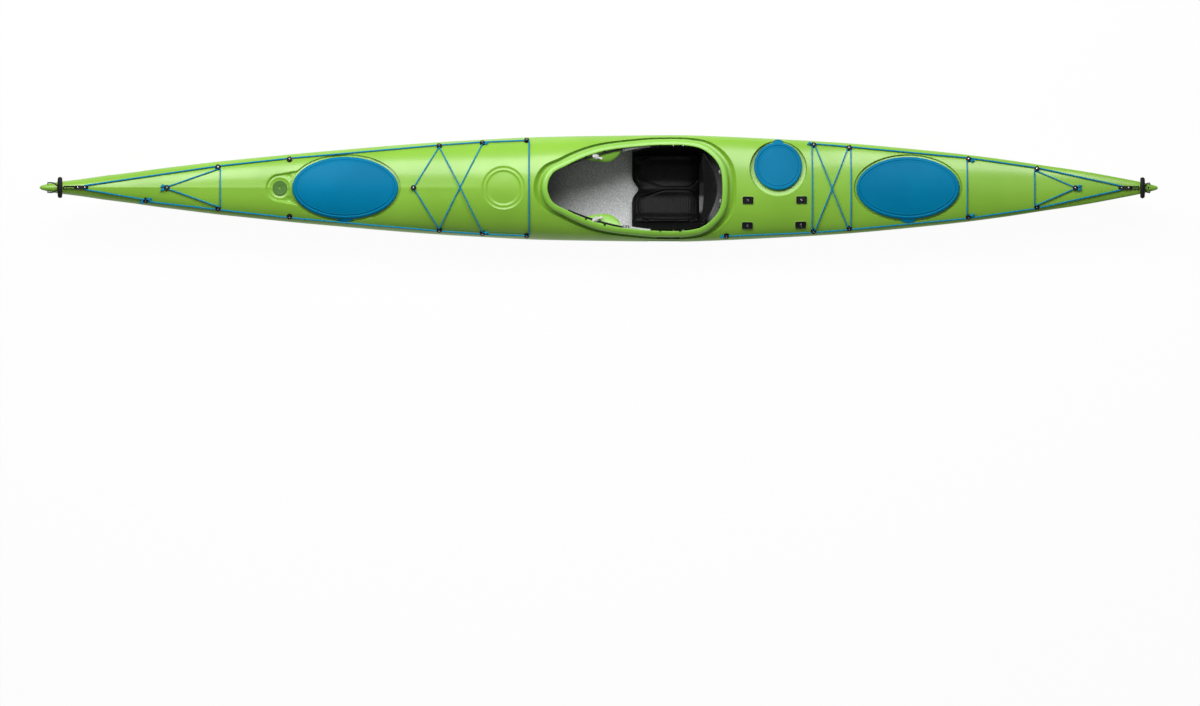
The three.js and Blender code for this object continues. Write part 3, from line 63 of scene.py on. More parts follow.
# place, half breadth, keel, seam, crown, fullness under the seam
hullLines = [
    (0, 0.03, 0.945, 0.955, 0.985, 1.15), (0.0107, 0.093, 0.81, 0.915, 0.998, 1.15),
    (0.0251, 0.131, 0.68, 0.895, 1, 1.15), (0.0394, 0.168, 0.548, 0.875, 1, 1.15),
    (0.0537, 0.215, 0.431, 0.852, 0.988, 1.15), (0.0824, 0.29, 0.246, 0.806, 0.957, 1.16),
    (0.1038, 0.355, 0.182, 0.77, 0.937, 1.18), (0.1253, 0.411, 0.154, 0.735, 0.92, 1.22),
    (0.154, 0.486, 0.126, 0.689, 0.883, 1.28), (0.19, 0.565, 0.105, 0.631, 0.842, 1.37),
    (0.2328, 0.654, 0.085, 0.582, 0.826, 1.5), (0.2731, 0.729, 0.062, 0.554, 0.83, 1.64),
    (0.3259, 0.822, 0.034, 0.52, 0.862, 1.84), (0.3688, 0.884, 0.012, 0.495, 0.888, 2),
    (0.405, 0.925, 0, 0.486, 0.908, 2.1), (0.4297, 0.953, 0, 0.477, 0.923, 2.16),
    (0.4476, 0.966, 0, 0.472, 0.902, 2.2), (0.5, 0.986, 0, 0.465, 0.858, 2.26),
    (0.5479, 0.998, 0, 0.461, 0.806, 2.3), (0.5694, 1, 0, 0.459, 0.785, 2.3),
    (0.6186, 0.968, 0, 0.456, 0.745, 2.26), (0.641, 0.946, 0, 0.455, 0.755, 2.24),
    (0.6697, 0.916, 0, 0.456, 0.745, 2.2), (0.6912, 0.892, 0.012, 0.46, 0.726, 2.15),
    (0.727, 0.841, 0.034, 0.48, 0.698, 2.02), (0.7762, 0.748, 0.06, 0.514, 0.71, 1.82),
    (0.8272, 0.636, 0.085, 0.555, 0.72, 1.62), (0.8702, 0.516, 0.108, 0.606, 0.73, 1.44),
    (0.8988, 0.423, 0.13, 0.65, 0.75, 1.32), (0.9275, 0.334, 0.15, 0.692, 0.772, 1.24),
    (0.9561, 0.228, 0.18, 0.732, 0.797, 1.18), (0.9705, 0.17, 0.255, 0.752, 0.81, 1.15),
    (0.9848, 0.112, 0.446, 0.768, 0.818, 1.15), (1, 0.03, 0.72, 0.745, 0.775, 1.15),
]


def monotoneCurve(places, values):
    spans = [b - a for a, b in zip(places, places[1:])]
    rises = [(b - a) / span for a, b, span in zip(values, values[1:], spans)]
    slopes = [rises[0]]
    for i in range(1, len(rises)):
        before, after = rises[i - 1], rises[i]
        left, right = 2 * spans[i] + spans[i - 1], spans[i] + 2 * spans[i - 1]
        flat = before * after <= 0
        slopes.append(0.0 if flat else (left + right) / (left / before + right / after))
    slopes.append(rises[-1])

    def curve(place):
        i = min(max(bisect.bisect_right(places, place) - 1, 0), len(spans) - 1)
        t = min(max((place - places[i]) / spans[i], 0), 1)
        return ((1 + 2 * t) * (1 - t) ** 2 * values[i] + t * (1 - t) ** 2 * spans[i] * slopes[i]
                + t * t * (3 - 2 * t) * values[i + 1] + t * t * (t - 1) * spans[i] * slopes[i + 1])

    return curve


hullCurves = [monotoneCurve([row[0] for row in hullLines], [row[i] for row in hullLines])
              for i in range(1, 6)]


def fadeBetween(value, low, high):
    t = min(max((value - low) / (high - low), 0), 1)
    return t * t * (3 - 2 * t)


def signedPower(value, power):
    return math.copysign(abs(value) ** power, value)


@functools.lru_cache(maxsize=None)
def fairedLines(x):
    share = min(max(x / boat["length"] + 0.5, 0), 1)
    window = min(boat["fairing"], share, 1 - share)
    half, keel, seam, crown, power = [
        (curve(share - window) + 2 * curve(share) + curve(share + window)) / 4
        for curve in hullCurves]
    tall = boat["bowHeight"]
    return half * boat["halfBeam"], keel * tall, seam * tall, crown * tall, power


def linesAt(x):
    # Half breadth, keel, seam, crown and fullness at a place along the boat, faired over a window
    return fairedLines(round(x, 5))


def deckSection(x, y):
    half, keel, seam, crown, power = linesAt(x)
    bend = boat["deckPower"]
    return seam + (crown - seam) * (1 - min(abs(y) / half, 1) ** bend) ** (1 / bend)


def deckHeight(x, y):
    share = x / boat["length"] + 0.5
    ridge = fadeBetween(share, 0.03, 0.07) * (1 - fadeBetween(share, 0.36, 0.42))
    off = abs(y) / boat["ridgeWidth"]
    return deckSection(x, y) - boat["ridgeDrop"] * ridge * off * math.exp(1 - off)


def evenDeck(x, y):
    # The deck without the foredeck's ridge, for the bow lid
    return deckSection(x, y) - boat["lidDrop"]


def deckNormal(x, y):
    probe = 3 * mm
    slopeX = (deckHeight(x + probe, y) - deckHeight(x - probe, y)) / (2 * probe)
    slopeY = (deckHeight(x, y + probe) - deckHeight(x, y - probe)) / (2 * probe)
    return Vector((-slopeX, -slopeY, 1)).normalized()


def standing(place, along, across, normal):
    return Matrix.Translation(place) @ Matrix((along, across, normal)).transposed().to_4x4()


def deckSeat(x, y, lift=0.0):
    # The matrix that stands a piece on the deck, its own X along the boat
    normal = deckNormal(x, y)
    along = (Vector((1, 0, 0)) - normal * normal.x).normalized()
    across = normal.cross(along)
    return standing(Vector((x, y, deckHeight(x, y))) + normal * lift, along, across, normal)


def stationX(share):
    return (share - 0.5) * boat["length"]


# Modelling steps that every piece goes through

def makeActive(*pieces):
    bpy.ops.object.select_all(action="DESELECT")
    for piece in pieces:
        piece.select_set(True)
    bpy.context.view_layer.objects.active = pieces[0]


def editMode():
    bpy.ops.object.mode_set(mode="EDIT")


def objectMode():
    bpy.ops.object.mode_set(mode="OBJECT")


def named(piece, name):
    piece.name = name
    piece.data.name = name
    return piece


def settled(piece):
    # Puts the piece's place into its mesh, so that its object stands at the origin
    makeActive(piece)
    bpy.ops.object.transform_apply(location=True, rotation=True, scale=True)
    return piece


def modified(piece, kind, **settings):
    makeActive(piece)
    modifier = piece.modifiers.new(kind.lower(), kind)
    for key, value in settings.items():
        setattr(modifier, key, value)
    bpy.ops.object.modifier_apply(modifier=modifier.name)
    return piece


def bevelled(piece, width, segments=2, **settings):
    return modified(piece, "BEVEL", width=width, segments=segments, **settings)


def smoothed(piece, degrees=35):
    makeActive(piece)
    bpy.ops.object.shade_smooth_by_angle(angle=math.radians(degrees))
    return piece


def joined(name, pieces):
    makeActive(*pieces)
    if len(pieces) > 1:
        bpy.ops.object.join()
    return named(pieces[0], name)


def copied(piece, name, matrix):
    twin = piece.copy()
    twin.data = piece.data.copy()
    bpy.context.collection.objects.link(twin)
    twin.data.transform(matrix)
    return named(twin, name)


def removed(*pieces):
    for piece in pieces:
        bpy.data.objects.remove(piece)


def painted(piece, *materials):
    piece.data.materials.clear()
    for material in materials:
        piece.data.materials.append(material)
    return piece


def dressed(piece, body, slot, *nodes):
    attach(piece, body)
    if nodes:
        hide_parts(*nodes)
    return piece


def moulded(piece, *nodes):
    return dressed(piece, "boat", "hull_moulding", *nodes)


def gridPiece(name, rows, uvSize=(1, 1)):
    # One skin of quads through rows of points, each row joined to its own start
    rows = [[*row, row[0]] for row in rows]
    bpy.ops.object.select_all(action="DESELECT")
    bpy.ops.mesh.primitive_grid_add(
        x_subdivisions=len(rows[0]) - 1, y_subdivisions=len(rows) - 1, size=1)
    piece = named(bpy.context.active_object, name)
    piece.data.vertices.foreach_set("co", [value for row in rows for p in row for value in p])
    for corner in piece.data.uv_layers.active.data:
        corner.uv = (corner.uv[0] * uvSize[0], corner.uv[1] * uvSize[1])
    editMode()
    bpy.ops.mesh.select_all(action="SELECT")
    bpy.ops.mesh.remove_doubles(threshold=2e-6)
    bpy.ops.mesh.normals_make_consistent(inside=False)
    objectMode()
    bpy.ops.object.shade_smooth()
    return piece


def drawnTogether(rows):
    # Closes both ends of a skin, each on the middle of its last row
    ends = [[sum(row, Vector((0, 0, 0))) / len(row)] * len(row) for row in (rows[0], rows[-1])]
    return [ends[0], *rows, ends[1]]


def folded(rows):
    # Closes both ends of a flat skin, upper side on lower side
    ends = [[(a + b) / 2 for a, b in zip(row, row[::-1])] for row in (rows[0], rows[-1])]
    return [ends[0], *rows, ends[1]]


# Outlines in plan: points with the direction that leads out of them

def closedOutline(points):
    count = len(points)
    outline = []
    for i, point in enumerate(points):
        along = (points[(i + 1) % count] - points[i - 1]).normalized()
        outline.append((point, Vector((along.y, -along.x))))
    return outline


def ovalOutline(x, y, halfLength, halfWidth, count=72):
    turns = [2 * math.pi * i / count for i in range(count)]
    return closedOutline([Vector((x + halfLength * math.cos(a), y + halfWidth * math.sin(a)))
                          for a in turns])


def roundedSpline(corners, count):
    # A closed centripetal curve through the corners, with evenly spaced points
    fine = []
    total = len(corners)
    for i in range(total):
        p0, p1, p2, p3 = [corners[(i + k) % total] for k in (-1, 0, 1, 2)]
        d0, d1, d2 = [math.sqrt((b - a).length) for a, b in ((p0, p1), (p1, p2), (p2, p3))]
        out = ((p1 - p0) / d0 - (p2 - p0) / (d0 + d1) + (p2 - p1) / d1) * d1
        into = ((p2 - p1) / d1 - (p3 - p1) / (d1 + d2) + (p3 - p2) / d2) * d1
        for k in range(24):
            t = k / 24
            fine.append(p1 * (1 + 2 * t) * (1 - t) ** 2 + out * t * (1 - t) ** 2
                        + p2 * t * t * (3 - 2 * t) + into * t * t * (t - 1))
    lengths = [0.0]
    for a, b in zip(fine, fine[1:] + fine[:1]):
        lengths.append(lengths[-1] + (b - a).length)
    points = []
    for i in range(count):
        want = lengths[-1] * i / count
        k = bisect.bisect_right(lengths, want) - 1
        part = (want - lengths[k]) / (lengths[k + 1] - lengths[k])
        points.append(fine[k].lerp(fine[(k + 1) % len(fine)], part))
    return points


def drapedRow(outline, up=0.0, out=0.0, share=1.0, lift=0.0, on=deckHeight):
    # One ring of points over a surface, drawn out from the outline or in to its middle
    middle = sum((point for point, outward in outline), Vector((0, 0))) / len(outline)
    row = []
    for i, (point, outward) in enumerate(outline):
        reach = out[i] if isinstance(out, list) else out
        plan = middle.lerp(point, share) + outward * reach
        place = Vector((plan.x, plan.y, on(plan.x, plan.y) + up))
        if lift:
            place += deckNormal(plan.x, plan.y) * lift
        row.append(place)
    return row


def softenedRows(rows, looped=False, steps=3):
    # Each row comes with a radius; a row with one becomes a rounded edge
    made = []
    for i, (row, radius) in enumerate(rows):
        if not radius or (not looped and i in (0, len(rows) - 1)):
            made.append(row)
            continue
        before, after = rows[i - 1][0], rows[(i + 1) % len(rows)][0]
        for k in range(steps + 1):
            t = k / steps
            bend = []
            for a, b, c in zip(before, row, after):
                start = b + (a - b) * min(radius / max((a - b).length, 1e-6), 0.48)
                end = b + (c - b) * min(radius / max((c - b).length, 1e-6), 0.48)
                bend.append(start * (1 - t) ** 2 + b * 2 * t * (1 - t) + end * t * t)
            made.append(bend)
    return made + made[:1] if looped else made


def drapedPiece(name, rows, looped=True, steps=3):
    return gridPiece(name, softenedRows(rows, looped, steps))


# Finishes

def rgb(red, green, blue):
    def linear(value):
        value /= 255
        return value / 12.92 if value <= 0.04045 else ((value + 0.055) / 1.055) ** 2.4
    return linear(red), linear(green), linear(blue), 1


def shaderGroup(name, place, inputs, outputs):
    # One vector input for the place, and numbers with their defaults
    group = bpy.data.node_groups.new(name, "ShaderNodeTree")
    group.interface.new_socket(place, in_out="INPUT", socket_type="NodeSocketVector")
    for label, value in inputs.items():
        socket = group.interface.new_socket(label, in_out="INPUT", socket_type="NodeSocketFloat")
        socket.default_value = value
    for label in outputs:
        group.interface.new_socket(label, in_out="OUTPUT", socket_type="NodeSocketFloat")
    return (group, group.nodes.new("NodeGroupInput").outputs,
            group.nodes.new("NodeGroupOutput").inputs)


def addNode(tree, kind, values=None, **settings):
    node = tree.nodes.new(kind)
    for key, value in settings.items():
        setattr(node, key, value)
    for key, value in (values or {}).items():
        if isinstance(value, bpy.types.NodeSocket):
            tree.links.new(value, node.inputs[key])
        else:
            node.inputs[key].default_value = value
    return node


def mathNode(tree, operation, first, second=0.0, third=0.0):
    return addNode(tree, "ShaderNodeMath", {0: first, 1: second, 2: third},
                   operation=operation).outputs[0]


def times(tree, first, second):
    return mathNode(tree, "MULTIPLY", first, second)


def ramp(tree, value, low, high):
    return addNode(tree, "ShaderNodeMapRange", {0: value, 1: low, 2: high},
                   interpolation_type="SMOOTHSTEP").outputs[0]


def mouldedGrainGroup():
    # Orange peel, fine pits, soft clouds of tone and long hair scratches of moulded plastic
    tree, given, made = shaderGroup("moulded grain", "Place", {"Peel": 180.0, "Scratches": 0.3},
                                    ["Height", "Cloud", "Scratch"])
    peel = addNode(tree, "ShaderNodeTexNoise",
                   {"Vector": given["Place"], "Scale": given["Peel"], "Detail": 2.0})
    pits = addNode(tree, "ShaderNodeTexNoise",
                   {"Vector": given["Place"], "Scale": times(tree, given["Peel"], 7.0),
                    "Detail": 1.0})
    cloud = addNode(tree, "ShaderNodeTexNoise",
                    {"Vector": given["Place"], "Scale": 3.5, "Detail": 3.0})
    drawn = addNode(tree, "ShaderNodeMapping",
                    {"Vector": given["Place"], "Rotation": (0, 0, 0.12), "Scale": (5, 260, 260)})
    hair = addNode(tree, "ShaderNodeTexNoise", {"Vector": drawn.outputs[0], "Scale": 1.0, "Detail": 2.0})
    scratch = times(tree, ramp(tree, hair.outputs[0], 0.66, 0.74), given["Scratches"])
    height = mathNode(tree, "MULTIPLY_ADD", pits.outputs[0], 0.25, peel.outputs[0])
    tree.links.new(mathNode(tree, "MULTIPLY_ADD", scratch, -0.4, height), made["Height"])
    tree.links.new(ramp(tree, cloud.outputs[0], 0.3, 0.7), made["Cloud"])
    tree.links.new(scratch, made["Scratch"])
    return tree


def speckleGroup():
    # Light and dark flecks of a foamed liner
    tree, given, made = shaderGroup("liner speckle", "Place", {"Size": 420.0}, ["Fleck", "Height"])
    coarse = addNode(tree, "ShaderNodeTexNoise",
                     {"Vector": given["Place"], "Scale": given["Size"], "Detail": 4.0, "Roughness": 0.8})
    cells = addNode(tree, "ShaderNodeTexVoronoi",
                    {"Vector": given["Place"], "Scale": given["Size"]})
    mixed = mathNode(tree, "MULTIPLY_ADD", cells.outputs["Distance"], 0.35, coarse.outputs[0])
    tree.links.new(ramp(tree, mixed, 0.45, 0.95), made["Fleck"])
    tree.links.new(coarse.outputs[0], made["Height"])
    return tree


def braidGroup():
    # Crossing strands of a braided cord on its own map: U round it and V along it, in metres
    tree, given, made = shaderGroup("cord braid", "Map", {"Round": 1000.0, "Along": 1000.0},
                                    ["Height", "Fleck"])
    parts = addNode(tree, "ShaderNodeSeparateXYZ", {0: given["Map"]})
    u = times(tree, parts.outputs[0], given["Round"])
    v = times(tree, parts.outputs[1], given["Along"])
    right = mathNode(tree, "SINE", mathNode(tree, "ADD", u, v))
    left = mathNode(tree, "SINE", mathNode(tree, "SUBTRACT", u, v))
    tree.links.new(mathNode(tree, "MAXIMUM", right, left), made["Height"])
    slow = mathNode(tree, "SINE", times(tree, mathNode(tree, "ADD", u, v), 0.25))
    both = times(tree, ramp(tree, slow, 0.75, 0.95), ramp(tree, left, 0.1, 0.6))
    tree.links.new(both, made["Fleck"])
    return tree


def clothGroup():
    # Plain weave on object places, with a little fuzz
    tree, given, made = shaderGroup("cloth weave", "Place", {"Threads": 2600.0}, ["Height", "Fuzz"])
    parts = addNode(tree, "ShaderNodeSeparateXYZ", {0: given["Place"]})
    along = mathNode(tree, "SINE", times(tree, parts.outputs[0], given["Threads"]))
    across = mathNode(tree, "SINE", times(tree, mathNode(
        tree, "ADD", parts.outputs[1], parts.outputs[2]), given["Threads"]))
    tree.links.new(times(tree, along, across), made["Height"])
    fuzz = addNode(tree, "ShaderNodeTexNoise",
                   {"Vector": given["Place"], "Scale": 90.0, "Detail": 4.0})
    tree.links.new(ramp(tree, fuzz.outputs[0], 0.35, 0.7), made["Fuzz"])
    return tree


mouldedGrain = mouldedGrainGroup()
linerSpeckle = speckleGroup()
cordBraid = braidGroup()
clothWeave = clothGroup()


def newFinish(name, **sockets):
    material = bpy.data.materials.new(name)
    material.use_nodes = True
    tree = material.node_tree
    shader = tree.nodes["Principled BSDF"]
    for key, value in sockets.items():
        shader.inputs[key.replace("_", " ")].default_value = value
    return material, tree, shader


def placeOf(tree, output="Object"):
    return addNode(tree, "ShaderNodeTexCoord").outputs[output]


def tinted(tree, shader, mask, base, other):
    mix = addNode(tree, "ShaderNodeMix", {"Factor": mask}, data_type="RGBA")
    mix.inputs[6].default_value = base
    mix.inputs[7].default_value = other
    tree.links.new(mix.outputs[2], shader.inputs["Base Color"])
    return mix.outputs[2]


def roughened(tree, shader, mask, low, high):
    value = addNode(tree, "ShaderNodeMapRange", {0: mask, 3: low, 4: high}).outputs[0]
    tree.links.new(value, shader.inputs["Roughness"])


def bumped(tree, shader, height, strength, distance):
    bump = addNode(tree, "ShaderNodeBump", {"Height": height, "Strength": strength, "Distance": distance})
    tree.links.new(bump.outputs[0], shader.inputs["Normal"])


def mouldedFinish(name, colour, shade, rough, peel=180.0, scratches=0.3, relief=0.25, **sockets):
    # Moulded plastic, rubber or cast parts: clouds of tone, a peel in the gloss, hair scratches
    material, tree, shader = newFinish(name, **sockets)
    grain = addNode(tree, "ShaderNodeGroup", {"Place": placeOf(tree), "Peel": peel,
                                              "Scratches": scratches}, node_tree=mouldedGrain)
    tinted(tree, shader, grain.outputs["Cloud"], colour, shade)
    wear = mathNode(tree, "MAXIMUM", grain.outputs["Scratch"],
                    times(tree, grain.outputs["Cloud"], 0.5))
    roughened(tree, shader, wear, rough, min(rough + 0.16, 1))
    bumped(tree, shader, grain.outputs["Height"], relief, 0.4 * mm)
    return material


def cordFinish(name, colour, fleck, diameter, rough=0.6):
    # Braided cord: five strands round it each way
    material, tree, shader = newFinish(name, Specular_IOR_Level=0.15)
    braid = addNode(tree, "ShaderNodeGroup", {
        "Map": placeOf(tree, "UV"), "Round": 2 * math.pi * 5 / (math.pi * diameter),
        "Along": 2 * math.pi / (diameter * 0.8)}, node_tree=cordBraid)
    tinted(tree, shader, braid.outputs["Fleck"], colour, fleck)
    roughened(tree, shader, braid.outputs["Height"], rough, rough + 0.2)
    bumped(tree, shader, braid.outputs["Height"], 0.55, 0.35 * mm)
    return material


def clothFinish(name, colour, worn, threads=2600.0, rough=0.82, sheen=0.25):
    material, tree, shader = newFinish(name, Sheen_Weight=sheen, Sheen_Roughness=0.4,
                                       Specular_IOR_Level=0.15)
    weave = addNode(tree, "ShaderNodeGroup", {"Place": placeOf(tree), "Threads": threads},
                    node_tree=clothWeave)
    tinted(tree, shader, weave.outputs["Fuzz"], colour, worn)
    roughened(tree, shader, weave.outputs["Fuzz"], rough, min(rough + 0.1, 1))
    bumped(tree, shader, weave.outputs["Height"], 0.35, 0.3 * mm)
    return material


def linerFinish():
    # Painted shade: the liner is darker under the foredeck and aft of the seat, where the cockpit's shade
    # falls
    material, tree, shader = newFinish("speckled liner", Specular_IOR_Level=0.3)
    place = placeOf(tree)
    speckle = addNode(tree, "ShaderNodeGroup", {"Place": place}, node_tree=linerSpeckle)
    along = addNode(tree, "ShaderNodeSeparateXYZ", {0: place}).outputs[0]
    # painted light and shade: the liner's flecks show fully only in the middle stretch, where light falls in
    # through the cockpit
    paintedLitBand = times(tree, ramp(tree, along, -0.3, -0.1), ramp(tree, along, 0.4, 0.2))
    level = mathNode(tree, "MULTIPLY_ADD", paintedLitBand, 0.75, 0.25)
    fleckUnderPaintedShade = times(tree, speckle.outputs["Fleck"], level)
    tinted(tree, shader, fleckUnderPaintedShade, rgb(104, 105, 106), rgb(240, 241, 242))
    roughened(tree, shader, speckle.outputs["Fleck"], 0.55, 0.75)
    bumped(tree, shader, speckle.outputs["Height"], 0.5, 0.5 * mm)
    return material


def dimpledFinish():
    # Close round dimples in a darker green; each dimple's pit is painted darker as shade
    material, tree, shader = newFinish("dimpled green", Roughness=0.5)
    dimplesWithPaintedShade = addNode(tree, "ShaderNodeTexVoronoi", {"Vector": placeOf(tree), "Scale": 420.0})
    # painted shade: the colour darkens towards each dimple's middle, where the bump sinks
    tinted(tree, shader, ramp(tree, dimplesWithPaintedShade.outputs["Distance"], 0.2, 0.7), rgb(56, 100, 24), rgb(74, 122, 32))
    bumped(tree, shader, dimplesWithPaintedShade.outputs["Distance"], 0.5, 0.6 * mm)
    return material


gelGreen = mouldedFinish("hull green", rgb(137, 190, 60), rgb(129, 182, 53), 0.3, 120.0, 0.25, 0.12,
                         Coat_Weight=0.25, Coat_Roughness=0.18)
# painted light: the rim is the hull's plastic, given a slightly lighter copy of the hull's green
rimGreenPaintedLighter = mouldedFinish("rim green", rgb(136, 196, 68), rgb(128, 188, 60), 0.34, 160.0, 0.3, 0.15,
                         Coat_Weight=0.2, Coat_Roughness=0.2)
speckledLiner = linerFinish()
dimpledGreen = dimpledFinish()
hatchBlue = mouldedFinish("hatch rubber", rgb(0, 120, 162), rgb(0, 111, 152), 0.45, 260.0, 0.3, 0.3,
                          Specular_IOR_Level=0.07)
mouldedBlack = mouldedFinish("moulded black", rgb(15, 15, 17), rgb(24, 24, 26), 0.38, 700.0, 0.4, 0.3,
                             Specular_IOR_Level=0.3)
rubberBlack = mouldedFinish("toggle rubber", rgb(17, 17, 19), rgb(26, 26, 28), 0.6, 900.0, 0.4, 0.5,
                            Specular_IOR_Level=0.25)
seatShell = mouldedFinish("seat shell", rgb(11, 11, 12), rgb(17, 17, 18), 0.26, 300.0, 0.3, 0.3)
skegGrey = mouldedFinish("skeg plastic", rgb(62, 66, 70), rgb(74, 78, 82), 0.4, 500.0, 0.7, 0.3)
bulkheadGrey = mouldedFinish("bulkhead foam", rgb(44, 45, 47), rgb(34, 35, 37), 0.75, 900.0, 0.2, 0.6)
screwSteel = mouldedFinish("bright steel", rgb(205, 207, 210), rgb(180, 182, 186), 0.22, 900.0, 0.8, 0.15,
                           Metallic=1.0)
palePlastic = mouldedFinish("pale plastic", rgb(214, 214, 214), rgb(196, 196, 197), 0.4, 400.0, 0.3, 0.2)
buckleGrey = mouldedFinish("buckle plastic", rgb(128, 129, 131), rgb(112, 113, 116), 0.4, 500.0, 0.4, 0.25)
paleGreen = mouldedFinish("pale gasket", rgb(168, 214, 112), rgb(158, 206, 102), 0.4, 300.0, 0.2, 0.2)
lineTeal = cordFinish("deck line", rgb(0, 130, 172), rgb(0, 98, 134), 7 * mm)
bungeeBlue = cordFinish("bungee", rgb(0, 134, 178), rgb(40, 158, 194), 6 * mm)
cordWhite = cordFinish("white cord", rgb(226, 226, 224), rgb(200, 200, 198), 3.4 * mm)
cordBlack = cordFinish("black cord", rgb(30, 31, 33), rgb(70, 72, 74), 5 * mm)
seatCloth = clothFinish("seat cloth", rgb(6, 6, 7), rgb(11, 11, 12), rough=0.5, sheen=0.0)
backCloth = clothFinish("backrest cloth", rgb(12, 12, 13), rgb(21, 21, 22), 3200.0, 0.66, sheen=0.03)
strapBlack = clothFinish("black webbing", rgb(28, 28, 29), rgb(44, 44, 46), 4200.0, 0.7)
strapPale = clothFinish("pale webbing", rgb(205, 205, 204), rgb(180, 180, 180), 4200.0, 0.7)
print("finishes ready")


# Hull and deck skins

skins = {"stations": 250, "hullSteps": 20, "deckSteps": 30, "innerStations": 110, "innerSteps": 12,
         "cavityStart": 0.045, "cavityEnd": 0.965, "past": 40 * mm}


def sectionRow(x, inset, overDeck, steps):
    # From the starboard seam over the keel or the crown to the port seam
    half, keel, seam, crown, power = linesAt(x)
    side = half - inset
    flat = 0.0 if overDeck else boat["keelFlat"] * side
    reach = (crown - inset - seam) if overDeck else (keel + inset - seam)
    bend = 2 / (boat["deckPower"] if overDeck else power)
    row = []
    for hand, order in ((1, range(steps + 1)), (-1, range(steps - (1 if overDeck else 0), -1, -1))):
        for step in order:
            angle = math.pi / 2 * step / steps
            y = flat + (side - flat) * max(math.cos(angle), 0) ** bend
            z = seam + reach * math.sin(angle) ** bend
            if step == steps:
                y = flat
            if overDeck and not inset:
                z = deckHeight(x, y)
            row.append(Vector((x, hand * y, z)))
    return row


def tipScale(share):
    t = min(share, 1 - share) / boat["endRound"]
    return math.sqrt(max(1 - (1 - min(t, 1)) ** 2, 0))


def outerShares():
    count = skins["stations"]
    tip = [boat["endRound"] * (1 - math.cos(math.pi / 2 * i / 5)) for i in range(5)]
    middle = []
    for i in range(count + 1):
        t = i / count
        eased = t - 0.1 * math.sin(2 * math.pi * t) / math.pi  # stations stand closer at the ends
        middle.append(boat["endRound"] + eased * (1 - 2 * boat["endRound"]))
    return tip + middle + [1 - share for share in reversed(tip)]


def outerBody(name, overDeck):
    rows = []
    steps = skins["deckSteps"] if overDeck else skins["hullSteps"]
    for share in outerShares():
        x = stationX(share)
        seam = linesAt(x)[2]
        scale = tipScale(share)
        row = sectionRow(x, 0.0, overDeck, steps)
        rows.append([Vector((p.x, p.y * scale, seam + (p.z - seam) * scale)) for p in row])
    return gridPiece(name, rows)


def cavityBody(name, overDeck):
    rows = []
    count = skins["innerStations"]
    past = -skins["past"] if overDeck else skins["past"]
    for i in range(count + 1):
        x = stationX(skins["cavityStart"] + (skins["cavityEnd"] - skins["cavityStart"]) * i / count)
        row = sectionRow(x, boat["wall"], overDeck, skins["innerSteps"])
        rows.append([*row, row[-1] + Vector((0, 0, past)), row[0] + Vector((0, 0, past))])
    return gridPiece(name, drawnTogether(rows))


def cutBy(piece, cutter):
    modified(piece, "BOOLEAN", operation="DIFFERENCE", solver="EXACT", object=cutter)
    removed(cutter)
    return piece


def wallCutter(name, outline, out, low=0.0):
    # An upright block over the outline, up through the deck
    rows = [drapedRow(outline, up=up, on=lambda x, y: 0.0, **reach)
            for up, reach in ((low, {"share": 0.0}), (low, {"out": out}),
                              (boat["cutTop"], {"out": out}), (boat["cutTop"], {"share": 0.0}))]
    return painted(gridPiece(name, rows), gelGreen, speckledLiner)


def hollowShell(name, overDeck):
    shell = painted(outerBody(name, overDeck), gelGreen, speckledLiner)
    cavity = painted(cavityBody(name + "_cavity", overDeck), gelGreen, speckledLiner)
    for face in cavity.data.polygons:
        face.material_index = 1
    return cutBy(shell, cavity)


hullSkin = hollowShell("hull_skin", False)
deckSkin = hollowShell("deck_skin", True)
print("hull and deck skins lofted")


# Cockpit rim and its sunk seat in the deck

cockpit = {
    "length": 829 * mm, "halfWidth": 203.5 * mm, "frontShare": 0.4536, "points": 132,
    "rise": 16 * mm, "rimWidth": 29 * mm, "wall": 5 * mm, "lipDrop": 9 * mm,
    "grooveDepth": 22 * mm, "sideMargin": 8 * mm, "endMargin": 38 * mm, "lean": 0.45,
    "lift": 0.25 * mm, "lap": 2 * mm,
}
cockpitShares = [
    (0, 0), (0.03, 0.33), (0.106, 0.51), (0.222, 0.73), (0.332, 0.865), (0.532, 0.97),
    (0.65, 1), (0.807, 0.985), (0.887, 0.9), (0.95, 0.7), (0.988, 0.45), (1, 0),
]


def cockpitX(share):
    return stationX(cockpit["frontShare"]) + share * cockpit["length"]


def cockpitOutline():
    half = cockpitShares
    ring = half + [(x, -y) for x, y in half[-2:0:-1]]
    corners = [Vector((cockpitX(x), y * cockpit["halfWidth"])) for x, y in ring]
    return closedOutline(roundedSpline(corners, cockpit["points"])[::-1])


mouth = cockpitOutline()


def rimSurface(outline):
    # The rim lies flatter than the deck: it leans only part of the way down with it
    def heights(out, up):
        row = []
        for point, outward in outline:
            plan = point + outward * out
            inner = deckHeight(point.x, point.y)
            outer = deckHeight(plan.x, plan.y)
            row.append(Vector((plan.x, plan.y, inner + (outer - inner) * cockpit["lean"] + up)))
        return row
    return heights


